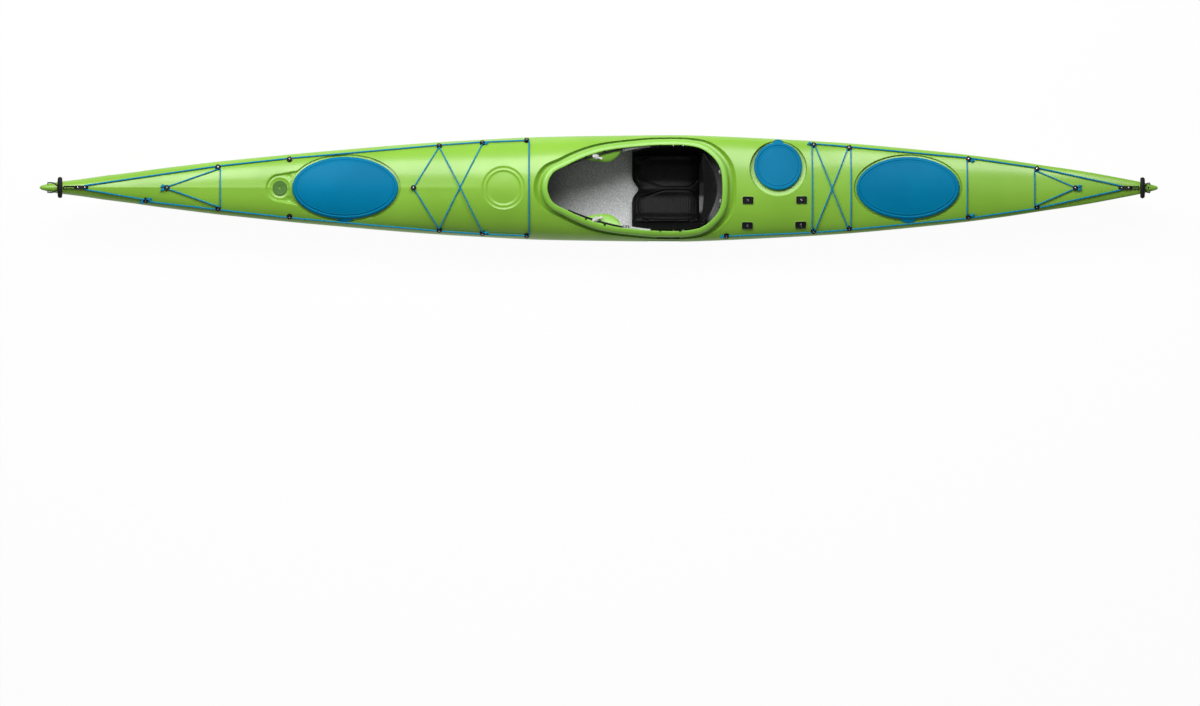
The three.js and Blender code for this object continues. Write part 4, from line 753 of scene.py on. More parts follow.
def cockpitRecess():
    rim, wall = cockpit["rimWidth"], boat["wall"]
    reach = [rim + cockpit["sideMargin"] + (cockpit["endMargin"] - cockpit["sideMargin"])
             * abs(outward.x) ** 1.3 for point, outward in mouth]
    foot = [rim + (r - rim) * 0.5 for r in reach]
    depth = cockpit["grooveDepth"]
    lap = [r + cockpit["lap"] for r in reach]
    rows = [
        (drapedRow(mouth, out=lap, lift=cockpit["lift"]), 0),
        (drapedRow(mouth, out=reach, lift=cockpit["lift"]), 10 * mm),
        (drapedRow(mouth, out=foot, up=-depth), 7 * mm),
        (drapedRow(mouth, out=2 * mm, up=-depth), 0),
        (drapedRow(mouth, out=2 * mm, up=-depth - wall), 0),
        (drapedRow(mouth, out=foot, up=-depth - wall), 0),
        (drapedRow(mouth, out=lap, up=-wall), 0),
    ]
    piece = drapedPiece("cockpit_recess", rows, steps=5)
    cutBy(deckSkin, wallCutter("mouth_cut", mouth, out=[r + 1 * mm for r in reach], low=0.02))
    return painted(piece, gelGreen)


def coamingPiece():
    at = rimSurface(mouth)
    rise, rim, wall = cockpit["rise"], cockpit["rimWidth"], cockpit["wall"]
    drop, groove = cockpit["lipDrop"], cockpit["grooveDepth"]
    rows = [
        (at(0.5 * mm, -groove + 1.5 * mm), 0),
        (drapedRow(mouth, out=12 * mm, up=-groove + 1.5 * mm), 0),
        (drapedRow(mouth, out=12 * mm, up=-groove + 5 * mm), 2 * mm),
        (at(wall, -groove / 2), 4 * mm),
        (at(wall, rise - wall - 0.5 * mm), 4 * mm),
        (at(rim - wall, rise - drop - 2 * mm), 2 * mm),
        (at(rim - wall, 1 * mm), 1.5 * mm),
        (at(rim, 1 * mm), 1.5 * mm),
        (at(rim, rise - drop), 5 * mm),
        (at(rim - 8 * mm, rise - 1.5 * mm), 8 * mm),
        (at(wall + 3 * mm, rise), 4 * mm),
        (at(0.5 * mm, rise - 1 * mm), 3 * mm),
        (at(0.0, rise - 7 * mm), 2 * mm),
    ]
    return painted(drapedPiece("coaming_ring", rows, steps=4), rimGreenPaintedLighter)


hook = {"start": 0.19, "end": 0.425, "reach": 54 * mm, "drop": 24 * mm, "thick": 6 * mm, "steps": 28,
        "across": 10}


def halfMouthAt(share):
    curve = monotoneCurve([row[0] for row in cockpitShares[:-4]], [row[1] for row in cockpitShares[:-4]])
    return curve(share) * cockpit["halfWidth"]


def thighHook(hand):
    # A wing that swells in from the rim's wall, fullest towards its rear
    rows = []
    for i in range(hook["steps"] + 1):
        part = i / hook["steps"]
        share = hook["start"] + (hook["end"] - hook["start"]) * part
        swell = max(math.sin(math.pi * part ** 1.7), 0) ** 0.6
        x = cockpitX(share)
        outer = halfMouthAt(share) + 3 * mm
        root = deckHeight(x, outer) + 2 * mm
        top, low = [], []
        for k in range(hook["across"] + 1):
            t = k / hook["across"]
            y = outer - (3 * mm + hook["reach"] * swell) * t
            z = root - hook["drop"] * swell * t ** 1.5
            edge = hook["thick"] / 2 * math.sqrt(max(1 - max(t - 0.9, 0) ** 2 / 0.01, 0))
            top.append(Vector((x, hand * y, z + edge)))
            low.append(Vector((x, hand * y, z - edge)))
        rows.append(top + low[::-1])
    name = "thigh_hook_starboard" if hand > 0 else "thigh_hook_port"
    return painted(smoothed(gridPiece(name, drawnTogether(rows)), 50), rimGreenPaintedLighter)


moulded(cockpitRecess())
moulded(coamingPiece(), "cockpit_coaming")
for hand in (1, -1):
    moulded(thighHook(hand))
print("cockpit rim and recess made")


# Hatch recesses and lids

hatches = {
    "bow": {"x": stationX(0.2727), "y": 0.0, "halfLength": 251 * mm, "halfWidth": 148 * mm,
            "tabReach": 11 * mm, "tabHalf": 38 * mm, "tabHand": -1},
    "stern": {"x": 0.0, "y": 0.0, "halfLength": 245 * mm, "halfWidth": 148 * mm,
              "tabReach": 16 * mm, "tabHalf": 36 * mm, "tabHand": -1},
    "day": {"x": 0.0, "y": 104 * mm, "halfLength": 114 * mm, "halfWidth": 114 * mm,
            "tabReach": 14 * mm, "tabHalf": 25 * mm, "tabHand": 1},
}
for name in ("stern", "day"):
    low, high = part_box(name + "_hatch_lid")
    hatches[name]["x"] = (low.x + high.x) / 2
hatchSeat = {"margin": 12 * mm, "depth": 11 * mm, "slope": 3 * mm, "rimInset": 9 * mm, "rimWidth": 4 * mm,
             "rimDrop": 1 * mm, "pan": 4 * mm, "lap": 2 * mm, "lift": 0.25 * mm}
daySeat = {"halfLength": 136 * mm, "halfWidth": 133 * mm, "y": 92 * mm, "sink": 25 * mm, "tilt": 0.22}
dayLevel = deckHeight(hatches["day"]["x"], hatches["day"]["y"]) - daySeat["sink"]
compass = {"x": stationX(0.2142), "nose": 68 * mm, "spread": 0.19, "wall": 11 * mm, "bowl": 50 * mm,
           "disc": 35 * mm, "floor": 15 * mm, "patchFront": 82 * mm, "patchHalf": 108 * mm, "cell": 3 * mm}


def dayPlane(x, y):
    return dayLevel - (y - hatches["day"]["y"]) * daySeat["tilt"]


def compassDip(x, y):
    # How far the foredeck is sunk round the compass; it runs into the bow hatch's recess
    dx = x - compass["x"]
    inside = compass["nose"] - (math.hypot(dx, y) if dx < 0 else abs(y) - compass["spread"] * dx)
    dip = hatchSeat["depth"] * fadeBetween(inside, 0, compass["wall"])
    bowl = (compass["floor"] - hatchSeat["depth"]) * fadeBetween(
        compass["bowl"] - math.hypot(dx, y), 0, compass["bowl"] - compass["disc"])
    ring = 1.6 * mm * math.exp(-((math.hypot(dx, y) - compass["bowl"]) / (4 * mm)) ** 2)
    corner = max(1 - math.hypot(dx - 43 * mm, abs(y) - 54 * mm) / (17 * mm), 0) * 6 * mm
    return dip + (bowl - ring) * (dip > 4 * mm) + corner


def sunkForedeck(x, y):
    return deckHeight(x, y) - compassDip(x, y)


def hatchOutline(hatch, count=96):
    return ovalOutline(hatch["x"], hatch["y"], hatch["halfLength"], hatch["halfWidth"], count)


def hatchRing(name, hatch, surface=deckHeight, lipOn=deckHeight, border=None, margin=hatchSeat["margin"]):
    seat = hatchSeat
    edge = hatchOutline(hatch)
    border = border or edge
    wall = -seat["rimInset"] - seat["rimWidth"]
    foot = -seat["depth"] - seat["pan"]
    lip = [(drapedRow(border, out=out, lift=seat["lift"], on=lipOn), soft)
           for out, soft in ((margin + seat["lap"], 0), (margin, 2.5 * mm))]
    well = [(drapedRow(ring, up, out, on=surface), soft) for ring, out, up, soft in (
        (border, margin - seat["slope"], -seat["depth"], 3 * mm),
        (edge, -seat["rimInset"], -seat["depth"], 1.5 * mm),
        (edge, -seat["rimInset"], -seat["rimDrop"], 1 * mm), (edge, wall, -seat["rimDrop"], 1 * mm),
        (edge, wall, foot, 1 * mm), (border, margin + seat["lap"], foot, 0))]
    piece = drapedPiece(name, lip + well)
    cutBy(deckSkin, wallCutter(name + "_cut", border, out=margin + 1 * mm, low=0.02))
    return painted(piece, gelGreen)


def lidPiece(name, hatch, surface=deckHeight):
    # Soft lid: outer bead, a groove inside it, and a thin ring round a gently crowned panel; its pull tab is
    # made by lidTab
    edge = hatchOutline(hatch)
    seat = hatchSeat
    skirt = -seat["rimInset"] + 0.4 * mm
    plug = skirt - seat["rimWidth"] - 8 * mm
    profile = [
        # share of the way out from the middle, reach out of the edge, height, rounding
        (0.0, 0.0, 8.6 * mm, 0), (0.35, 0.0, 8.4 * mm, 0), (0.7, 0.0, 7.6 * mm, 0),
        (1.0, -25 * mm, 7.0 * mm, 2 * mm), (1.0, -23 * mm, 7.9 * mm, 1.2 * mm),
        (1.0, -20.5 * mm, 7.9 * mm, 1.2 * mm), (1.0, -18.5 * mm, 5.2 * mm, 1.5 * mm),
        (1.0, -15 * mm, 5.2 * mm, 1.5 * mm), (1.0, -12.5 * mm, 8.6 * mm, 3 * mm),
        (1.0, -5 * mm, 8.2 * mm, 5 * mm), (1.0, 0.0, 3.4 * mm, 2.5 * mm),
        (1.0, 0.0, -7.5 * mm, 1.5 * mm), (1.0, skirt, -7.5 * mm, 0.8 * mm),
        (1.0, skirt, -0.3 * mm, 0.5 * mm), (1.0, plug, -0.3 * mm, 1 * mm),
        (1.0, plug - 4 * mm, 4 * mm, 2 * mm), (0.5, 0.0, 4.8 * mm, 0), (0.0, 0.0, 5 * mm, 0),
    ]
    rows = [(drapedRow(edge, up, out, share, on=surface), soft) for share, out, up, soft in profile]
    return painted(drapedPiece(name, rows, looped=False, steps=4), hatchBlue)


tabForm = {"steps": 20, "across": 8, "inset": 4 * mm, "power": 2.6, "thick": 3.2 * mm, "dip": 0.35,
           "lift": 1.2 * mm}


def lidTab(name, hatch, surface=deckHeight):
    # A rounded tab with a raised bead, moulded to the lid's edge
    hand, half = hatch["tabHand"], hatch["tabHalf"]
    edge = hatch["halfWidth"] - tabForm["inset"]
    root = hatch["y"] + hand * edge
    rows = []
    for i in range(tabForm["steps"] + 1):
        part = 2 * i / tabForm["steps"] - 1
        x = hatch["x"] + part * half
        reach = tabForm["inset"] + hatch["tabReach"] * math.sqrt(max(1 - abs(part) ** tabForm["power"], 0))
        bow = edge * (1 - math.sqrt(1 - (part * half / hatch["halfLength"]) ** 2))
        top, low = [], []
        for k in range(tabForm["across"] + 1):
            t = k / tabForm["across"]
            y = root - hand * bow + hand * reach * t
            thick = tabForm["thick"] * (1 - tabForm["dip"] * fadeBetween(t, 0.25, 0.5)
                                        + tabForm["dip"] * fadeBetween(t, 0.7, 0.85))
            rounding = math.sqrt(max(1 - max(t - 0.85, 0) ** 2 / 0.0225, 0))
            base = surface(x, y) + tabForm["lift"]
            top.append(Vector((x, y, base + thick * rounding)))
            low.append(Vector((x, y, base)))
        rows.append(top + low[::-1])
    return painted(smoothed(gridPiece(name, rows), 60), hatchBlue)


def compassSeat():
    # The sunk pan in front of the bow hatch: a fine slab that is cut away where the hatch begins
    hatch = hatches["bow"]
    front = compass["x"] - compass["patchFront"]
    rear = hatch["x"] - hatch["halfLength"] + 90 * mm
    half, cell = compass["patchHalf"], compass["cell"]
    sides = [half - cell * k for k in range(round(2 * half / cell) + 1)]
    rows = []
    for i in range(round((rear - front) / cell) + 1):
        x = front + cell * i
        top = [Vector((x, y, sunkForedeck(x, y) + 0.15 * mm)) for y in sides]
        low = [Vector((x, y, deckHeight(x, y) - 24 * mm)) for y in reversed(sides[::4])]
        rows.append(top + low)
    slab = painted(gridPiece("compass_seat", drawnTogether(rows)), gelGreen)
    cutBy(slab, wallCutter("compass_trim", hatchOutline(hatch), out=hatchSeat["margin"] + 0.5 * mm))
    bpy.ops.mesh.primitive_cube_add(size=1, location=((front + rear) / 2, 0, 0.3))
    window = bpy.context.active_object
    window.scale = (rear - front - 2 * mm, 2 * half - 2 * mm, 0.3)
    cutBy(deckSkin, painted(settled(window), gelGreen))
    return smoothed(slab, 40)


def compassDisc():
    # Level dimpled disc with a small dint in its middle
    x = compass["x"]
    level = deckHeight(x, 0) - compass["floor"] + 1.8 * mm
    edge = ovalOutline(x, 0.0, compass["disc"], compass["disc"], 64)
    flat = [(1.0, -8 * mm, 0), (1.0, 0.0, 0.8 * mm), (0.94, 0.9 * mm, 0.8 * mm), (0.88, 0.3 * mm, 0.8 * mm),
            (0.2, 0.1 * mm, 1 * mm), (0.09, -2.2 * mm, 1 * mm), (0.0, -2.4 * mm, 0)]
    rows = [(drapedRow(edge, share=share, up=up, on=lambda a, b: level), soft) for share, up, soft in flat]
    rows.insert(0, (drapedRow(edge, share=0.0, up=-8 * mm, on=lambda a, b: level), 0))
    return painted(drapedPiece("compass_disc", rows, looped=False), dimpledGreen)


def panPiece(name, x, steps):
    # A closed pan let into the deck: rows of (radius, depth, rounding) from its edge to its middle
    widest = steps[0][0]
    edge = ovalOutline(x, 0.0, widest, widest, 72)
    rows = [(drapedRow(edge, out=hatchSeat["lap"], lift=hatchSeat["lift"]), 0)]
    rows += [(drapedRow(edge, share=radius / widest, up=-depth, lift=0 if i else hatchSeat["lift"]), soft)
             for i, (radius, depth, soft) in enumerate(steps)]
    rows += [(drapedRow(edge, share=0.0, up=-steps[-1][1]), 0),
             (drapedRow(edge, share=0.0, up=-steps[-1][1] - 4 * mm), 0),
             (drapedRow(edge, out=hatchSeat["lap"], up=-15 * mm), 0)]
    piece = drapedPiece(name, rows)
    cutBy(deckSkin, wallCutter(name + "_cut", edge, out=1 * mm, low=0.02))
    return painted(piece, gelGreen)


moulded(compassSeat())
moulded(compassDisc())
moulded(hatchRing("bow_hatch_seat", hatches["bow"], lipOn=sunkForedeck))
moulded(hatchRing("stern_hatch_seat", hatches["stern"]))
dayBorder = ovalOutline(hatches["day"]["x"], daySeat["y"], daySeat["halfLength"], daySeat["halfWidth"], 96)
moulded(hatchRing("day_hatch_seat", hatches["day"], dayPlane, border=dayBorder, margin=0.0))
moulded(panPiece("foredeck_boss", stationX(0.4143), [
    (104 * mm, 0.0, 3 * mm), (94 * mm, 6 * mm, 3 * mm), (84 * mm, 5.6 * mm, 3 * mm),
    (75 * mm, 12 * mm, 3 * mm), (40 * mm, 11 * mm, 0)]))
for name, surface in (("bow", evenDeck), ("stern", deckHeight), ("day", dayPlane)):
    lid = lidPiece(name + "_lid_rubber", hatches[name], surface)
    tab = lidTab(name + "_lid_tab", hatches[name], surface)
    lid = joined(name + "_lid_rubber", [lid, tab])
    dressed(lid, name + "_lid", "hatch_lid", name + "_hatch_lid")
print("hatches made")


# Deck fittings: one modelled, the rest copied from it

fitting = {"radius": 13 * mm, "height": 14 * mm, "floor": 2.5 * mm, "cap": 10 * mm, "capThick": 3 * mm,
           "capInset": 0.6 * mm, "post": 2.2 * mm, "screw": 3.4 * mm, "petals": 4, "notch": 0.2,
           "gap": 0.3 * mm}
screwForm = {"head": 1.6 * mm, "dome": 0.35 * mm, "slotLong": 1.05, "slotWide": 0.24, "slotDeep": 1.2 * mm,
             "turn": 0.6}
fittingNames = sorted(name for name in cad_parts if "_fitting" in name and "end_fitting" not in name)


def cylinder(radius, depth, z, sides=40):
    bpy.ops.object.select_all(action="DESELECT")
    bpy.ops.mesh.primitive_cylinder_add(vertices=sides, radius=radius, depth=depth,
                                        location=(0, 0, z + depth / 2))
    return settled(bpy.context.active_object)


def box(size, place):
    bpy.ops.object.select_all(action="DESELECT")
    bpy.ops.mesh.primitive_cube_add(size=1, location=place)
    piece = bpy.context.active_object
    piece.scale = size
    return settled(piece)


def pickFaces(piece, test):
    # Leaves only the faces that pass the test selected, in edit mode
    makeActive(piece)
    editMode()
    bpy.ops.mesh.select_mode(type="FACE")
    bpy.ops.mesh.select_all(action="DESELECT")
    objectMode()
    for face in piece.data.polygons:
        face.select = bool(test(face))
    editMode()


def shaped(piece, test, *steps):
    # Insets (inset, rise) pairs of the picked faces, one after another
    pickFaces(piece, test)
    for inset, rise in steps:
        bpy.ops.mesh.inset(thickness=inset, depth=0)
        bpy.ops.transform.translate(value=(0, 0, rise))
    objectMode()
    return piece


def facesUp(face):
    return face.normal.z > 0.9


def screwHead(radius, top, sides=20):
    # Domed head with a cross recess
    form = screwForm
    head = cylinder(radius, form["head"], top - form["head"], sides)
    shaped(head, facesUp, (radius * 0.3, form["dome"]), (radius * 0.35, 0.1 * mm))
    for turn in (form["turn"], form["turn"] + math.pi / 2):
        bar = box((radius * form["slotLong"], radius * form["slotWide"], form["slotDeep"]), (0, 0, 0))
        bar.data.transform(Matrix.Translation((0, 0, top + form["dome"])) @ Matrix.Rotation(turn, 4, "Z"))
        cutBy(head, bar)
    return painted(bevelled(head, 0.15 * mm, 1), screwSteel)


def lineFitting():
    base = cylinder(fitting["radius"], fitting["floor"], 0)
    bevelled(base, 0.7 * mm)
    post = cylinder(fitting["post"], fitting["height"] - 3 * mm, 1 * mm, 16)
    cap = cylinder(fitting["radius"] - fitting["capInset"], fitting["capThick"], fitting["cap"], 64)
    shaped(cap, facesUp, (2.6 * mm, 0.9 * mm), (3 * mm, 0.5 * mm), (2 * mm, -1.1 * mm))
    for vertex in cap.data.vertices:
        turn = math.atan2(vertex.co.y, vertex.co.x)
        reach = math.hypot(vertex.co.x, vertex.co.y) / fitting["radius"]
        petal = 1 - fitting["notch"] * reach ** 2 * (1 - abs(math.cos(fitting["petals"] / 2 * turn))) ** 1.4
        vertex.co.x, vertex.co.y = vertex.co.x * petal, vertex.co.y * petal
    bevelled(cap, 0.6 * mm, angle_limit=0.9)
    body = painted(joined("line_fitting", [base, post, cap]), mouldedBlack)
    screw = screwHead(fitting["screw"], fitting["height"] - 0.4 * mm)
    return joined("line_fitting", [smoothed(body, 40), screw])


def boxMiddle(name):
    low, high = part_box(name)
    return (low + high) / 2


def fittingPlace(name):
    # The plan point under a fitting: its box's middle, drawn back along the deck's normal
    middle = boxMiddle(name)
    normal = deckNormal(middle.x, middle.y)
    return middle.x - normal.x * fitting["height"] / 2, middle.y - normal.y * fitting["height"] / 2


fittingSeats = {name: deckSeat(*fittingPlace(name), lift=fitting["gap"]) for name in fittingNames}
pattern = lineFitting()
for i, name in enumerate(fittingNames):
    piece = copied(pattern, name + "_body", fittingSeats[name] @ Matrix.Rotation(0.4 * i, 4, "Z"))
    dressed(piece, "boat", "deck_fitting", name)
removed(pattern)
print(len(fittingNames), "deck fittings placed")


# Deck lines and bungees

cordage = {
    "line": 7 * mm, "bungee": 6 * mm, "outboard": 6 * mm, "inboard": -5 * mm, "pair": 7.5 * mm,
    "knotAway": 18.5 * mm, "turn": 9 * mm, "endTurn": 7 * mm, "crossOver": 7.5 * mm, "clear": 0.8 * mm,
    "step": 22 * mm, "past": 11.5 * mm, "endInset": 20 * mm, "knot": 0.28,
}


def at(name, along=0.0, out=0.0, turn=0.0, aside=0.0, knot=False):
    seat = fittingSeats[name]
    hand = 0 if "centre" in name else (1 if "starboard" in name else -1)
    place = seat @ Vector((along, hand * out + aside, 0))
    return {"x": place.x, "y": place.y, "turn": turn, "knot": knot, "over": 0.0}


def roundCorner(before, corner, after, count=6):
    middle = Vector((corner["x"], corner["y"]))
    ends = []
    for other in (before, after):
        away = Vector((other["x"], other["y"])) - middle
        ends.append(middle + away * min(corner["turn"] / away.length, 0.5))
    places = []
    for k in range(count + 1):
        t = k / count
        p = ends[0] * (1 - t) ** 2 + middle * 2 * t * (1 - t) + ends[1] * t * t
        places.append({**corner, "x": p.x, "y": p.y, "turn": 0.0})
    return places


def followDeck(places, diameter):
    # A cord's centre line at an even height over the deck; knots stand a little higher
    lift = fitting["gap"] + fitting["floor"] + diameter / 2
    knotOver = diameter * 1.1 + cordage["clear"] - lift
    plan = []
    for i, place in enumerate(places):
        if place["turn"] and 0 < i < len(places) - 1:
            plan += roundCorner(places[i - 1], place, places[i + 1])
        else:
            plan.append(place)
    points = []
    for place, after in zip(plan, plan[1:] + plan[-1:]):
        span = math.hypot(after["x"] - place["x"], after["y"] - place["y"])
        steps = max(math.ceil(span / cordage["step"]), 1)
        for k in range(steps):
            part = k / steps
            x = place["x"] + (after["x"] - place["x"]) * part
            y = place["y"] + (after["y"] - place["y"]) * part
            rises = [knotOver if p["knot"] else p["over"] for p in (place, after)]
            over = rises[0] + (rises[1] - rises[0]) * fadeBetween(part, 0, 1)
            points.append(deckSeat(x, y, lift + over).translation)
    return [p for p, q in zip(points, points[1:] + [None]) if q is None or (p - q).length > 0.2 * mm]


def tubeRows(points, diameter, sides):
    # Rings along a route, turned as little as possible from one to the next, with blunt ends
    rows = []
    heading = (points[1] - points[0]).normalized()
    normal = heading.orthogonal().normalized()
    last = len(points) - 1
    for i, point in enumerate(points):
        ahead = (points[min(i + 1, last)] - points[max(i - 1, 0)]).normalized()
        normal = (normal - ahead * normal.dot(ahead)).normalized()
        side = ahead.cross(normal)
        rows.append([point + (normal * math.cos(2 * math.pi * k / sides)
                              + side * math.sin(2 * math.pi * k / sides)) * diameter / 2
                     for k in range(sides)])
    for end, inner in ((0, 1), (last, last - 1)):
        away = (points[end] - points[inner]).normalized() * diameter / 4
        nose = [points[end] + away + (p - points[end]) * 0.7 for p in rows[0 if end == 0 else -1]]
        tip = [points[end] + away * 1.5] * sides
        rows = [tip, nose] + rows if end == 0 else rows + [nose, tip]
    return rows


def tubePiece(name, points, diameter, material, sides=12):
    length = sum((b - a).length for a, b in zip(points, points[1:]))
    piece = gridPiece(name, tubeRows(points, diameter, sides),
                      uvSize=(math.pi * diameter, length))
    return painted(piece, material)


def knotPiece(name, point, heading, diameter, material):
    # An overhand knot pulled close, with a short tail
    size = diameter * cordage["knot"]
    loop = []
    for k in range(48):
        t = 2 * math.pi * k / 48
        loop.append(Vector((-math.sin(3 * t) * 1.5, math.sin(t) + 2 * math.sin(2 * t),
                            math.cos(t) - 2 * math.cos(2 * t))) * size)
    loop += loop[:1]
    up = Vector((0, 0, 1))
    across = up.cross(heading).normalized()
    place = standing(point, heading, across, heading.cross(across))
    knot = tubePiece(name, [place @ p for p in loop], diameter, material, 10)
    tail = [place @ (Vector((2 + 2.6 * k, 0.6 * k * k, -0.3 * k)) * mm) for k in range(4)]
    return joined(name, [knot, tubePiece(name + "_tail", tail, diameter, material, 10)])


def fore(i, side):
    return f"foredeck_fitting_{i}_{side}"


def aft(i, side):
    return f"aftdeck_fitting_{i}_{side}"


def endTurn(name, hands):
    # The perimeter line turns back inside the end fitting
    middle = boxMiddle(name)
    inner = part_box(name)[1].x if middle.x < 0 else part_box(name)[0].x
    x = inner + math.copysign(cordage["endInset"], inner)
    return [{"x": x, "y": hand * cordage["endTurn"], "turn": cordage["endTurn"] * 0.9,
             "knot": False, "over": 0.0} for hand in hands]


def corner(name, along=0.0):
    return at(name, along, cordage["inboard"], turn=cordage["turn"])


def hairpin(name, first):
    return [at(name, along=side, out=cordage["inboard"], turn=cordage["turn"]) for side in (first, -first)]


def knotEnd(name, side, aside):
    return [at(name, along=side * cordage["knotAway"], aside=aside, knot=True),
            at(name, along=-side * fitting["radius"], aside=aside)]


def crossing(first, second):
    return {"x": (at(first)["x"] + at(second)["x"]) / 2, "y": 0.0, "turn": 0.0, "knot": False,
            "over": cordage["crossOver"]}


def lacing():
    # Each cord's way from fitting to fitting
    out, inn, pair, away = cordage["outboard"], cordage["inboard"], cordage["pair"], cordage["knotAway"]
    radius, turn, past = fitting["radius"], cordage["turn"], cordage["past"]
    return {
        "fore_deck_line": [
            at("bow_port_line_fitting", away, -out, knot=True), at("bow_port_line_fitting", -radius, -out),
            *endTurn("bow_end_fitting", (-1, 1)),
            *[at(fore(i, "starboard"), 0, out) for i in (1, 2, 3, 4)],
            at(fore(5, "starboard"), past, turn=turn), at(fore(5, "port"), past, turn=turn),
            *[at(fore(i, "port"), 0, out) for i in (4, 3, 2, 1)],
            at("bow_port_line_fitting", radius, out), at("bow_port_line_fitting", -away, out, knot=True)],
        "aft_deck_line": [
            at("cockpit_fitting_port", -away, knot=True), at("cockpit_fitting_port", radius),
            *[at(aft(i, "port"), 0, out) for i in (1, 2, 3, 4)],
            *endTurn("stern_end_fitting", (-1, 1)),
            *[at(aft(i, "starboard"), 0, out) for i in (4, 3, 2)],
            at(aft(1, "starboard"), radius, out), at(aft(1, "starboard"), -away, out, knot=True)],
        "bow_bungee": [
            *knotEnd("bow_centre_fitting", -1, pair),
            corner(fore(1, "starboard"), past), corner(fore(1, "port"), past),
            *knotEnd("bow_centre_fitting", -1, -pair)[::-1]],
        "foredeck_bungee": [
            at(fore(4, "starboard"), away, inn, knot=True), at(fore(4, "starboard"), 0, inn, turn=turn),
            corner(fore(3, "port")), corner("foredeck_centre_fitting"), corner(fore(3, "starboard")),
            crossing(fore(3, "port"), fore(4, "port")),
            at(fore(4, "port"), 0, inn, turn=turn), at(fore(4, "port"), away, inn, knot=True)],
        "aft_bungee": [
            at(aft(1, "starboard"), -1.2 * mm, inn), at(aft(1, "starboard"), -pair, inn, turn=turn / 2),
            *hairpin(aft(1, "port"), -pair), *hairpin(aft(2, "starboard"), -pair),
            *hairpin(aft(2, "port"), pair), crossing(aft(1, "port"), aft(2, "port")),
            at(aft(1, "starboard"), pair, inn, turn=turn / 2), at(aft(1, "starboard"), 1.2 * mm, inn)],
        "stern_hatch_cord": [
            at(aft(3, "starboard"), away, 2 * inn, knot=True), at(aft(3, "starboard"), -pair, inn, turn=turn),
            at(aft(3, "port"), -pair, inn, turn=turn), at(aft(3, "port"), away, 2 * inn, knot=True)],
        "stern_bungee": [
            *knotEnd("stern_centre_fitting", 1, pair),
            corner(aft(4, "starboard"), -past), corner(aft(4, "port"), -past),
            *knotEnd("stern_centre_fitting", 1, -pair)[::-1]],
    }


for name, places in lacing().items():
    diameter = cordage["line"] if name.endswith("deck_line") else cordage["bungee"]
    material = lineTeal if name.endswith("deck_line") else bungeeBlue
    points = followDeck(places, diameter)
    parts = [tubePiece(name + "_braid", points, diameter, material)]
    if name != "aft_bungee":
        for first, second in ((points[0], points[1]), (points[-1], points[-2])):
            parts.append(knotPiece(name + "_knot", first, (first - second).normalized(), diameter, material))
    dressed(joined(name + "_braid", parts), "boat", "deck_cord", name)
print("deck lines laced")


# Carry toggles, their cords and the end fittings

toggle = {"length": 101 * mm, "width": 24 * mm, "depth": 23.6 * mm, "droop": 11 * mm, "seat": 13.1 * mm,
          "cord": 5 * mm, "spread": 9 * mm, "bow": 0.0186, "stern": 0.9857,
          "bowHole": 0.0075, "sternHole": 0.9925, "holeHeight": 0.45, "holeRadius": 3.3 * mm,
          "steps": 40, "sides": 28, "grooves": (0.5, 0.62, 0.74)}
endBar = {"size": (66 * mm, 20 * mm, 13 * mm), "topShare": (0.7, 0.72, 1),
          "hollow": (18 * mm, 7 * mm, 4 * mm), "screw": 3.6 * mm, "screwAway": 16.5 * mm,
          "bow": 0.0376, "stern": 0.9704}


def toggleBar(name, x):
    crown = linesAt(x)[3]
    rows = []
    turns = [2 * math.pi * k / toggle["sides"] for k in range(toggle["sides"])]
    for i in range(toggle["steps"] + 1):
        across = 2 * i / toggle["steps"] - 1
        size = math.sqrt(max(1 - abs(across) ** 14, 0)) * (1 - 0.08 * across ** 2)
        groove = 1 - 0.06 * sum(math.exp(-((abs(across) - place) / 0.025) ** 2)
                                for place in toggle["grooves"])
        centre = crown + toggle["seat"] - toggle["droop"] * across ** 2
        rows.append([Vector((x + toggle["width"] / 2 * size * groove * math.cos(turn),
                             across * toggle["length"] / 2,
                             centre + toggle["depth"] / 2 * size * groove * math.sin(turn)))
                     for turn in turns])
    return painted(gridPiece(name, rows), rubberBlack)


def smoothRoute(points, count=8):
    # A Catmull-Rom curve through the points
    made = []
    for i in range(len(points) - 1):
        p0, p1 = points[max(i - 1, 0)], points[i]
        p2, p3 = points[i + 1], points[min(i + 2, len(points) - 1)]
        for k in range(count):
            t = k / count
            made.append(0.5 * (2 * p1 + (p2 - p0) * t + (2 * p0 - 5 * p1 + 4 * p2 - p3) * t * t
                               + (3 * p1 - p0 - 3 * p2 + p3) * t ** 3))
    return made + [points[-1]]


def toggleCord(name, hole, x):
    radius = toggle["cord"] / 2
    holeX = stationX(hole)
    half, keel, seam, crown, power = linesAt(holeX)
    z = seam + (crown - seam) * toggle["holeHeight"]
    towards = math.copysign(1, x - holeX)
    rise = linesAt(x)[3] + toggle["seat"]
    middle = holeX + (x - holeX) * 0.45
    near = x - towards * (toggle["width"] / 2 + radius)
    side = [
        Vector((holeX, 0.6 * mm, z)), Vector((holeX, half + radius, z)),
        Vector((holeX + towards * radius, half + 2 * radius, z + radius)),
        deckSeat(middle, linesAt(middle)[0] * 0.8, radius + 0.8 * mm).translation,
        deckSeat(near, toggle["spread"], radius + 1.6 * mm).translation,
        Vector((x - towards * radius, toggle["spread"], rise)),
        Vector((x, toggle["spread"] - radius, rise)),
    ]
    route = side + [Vector((p.x, -p.y, p.z)) for p in reversed(side)]
    return tubePiece(name, smoothRoute(route), toggle["cord"], cordBlack, 10)


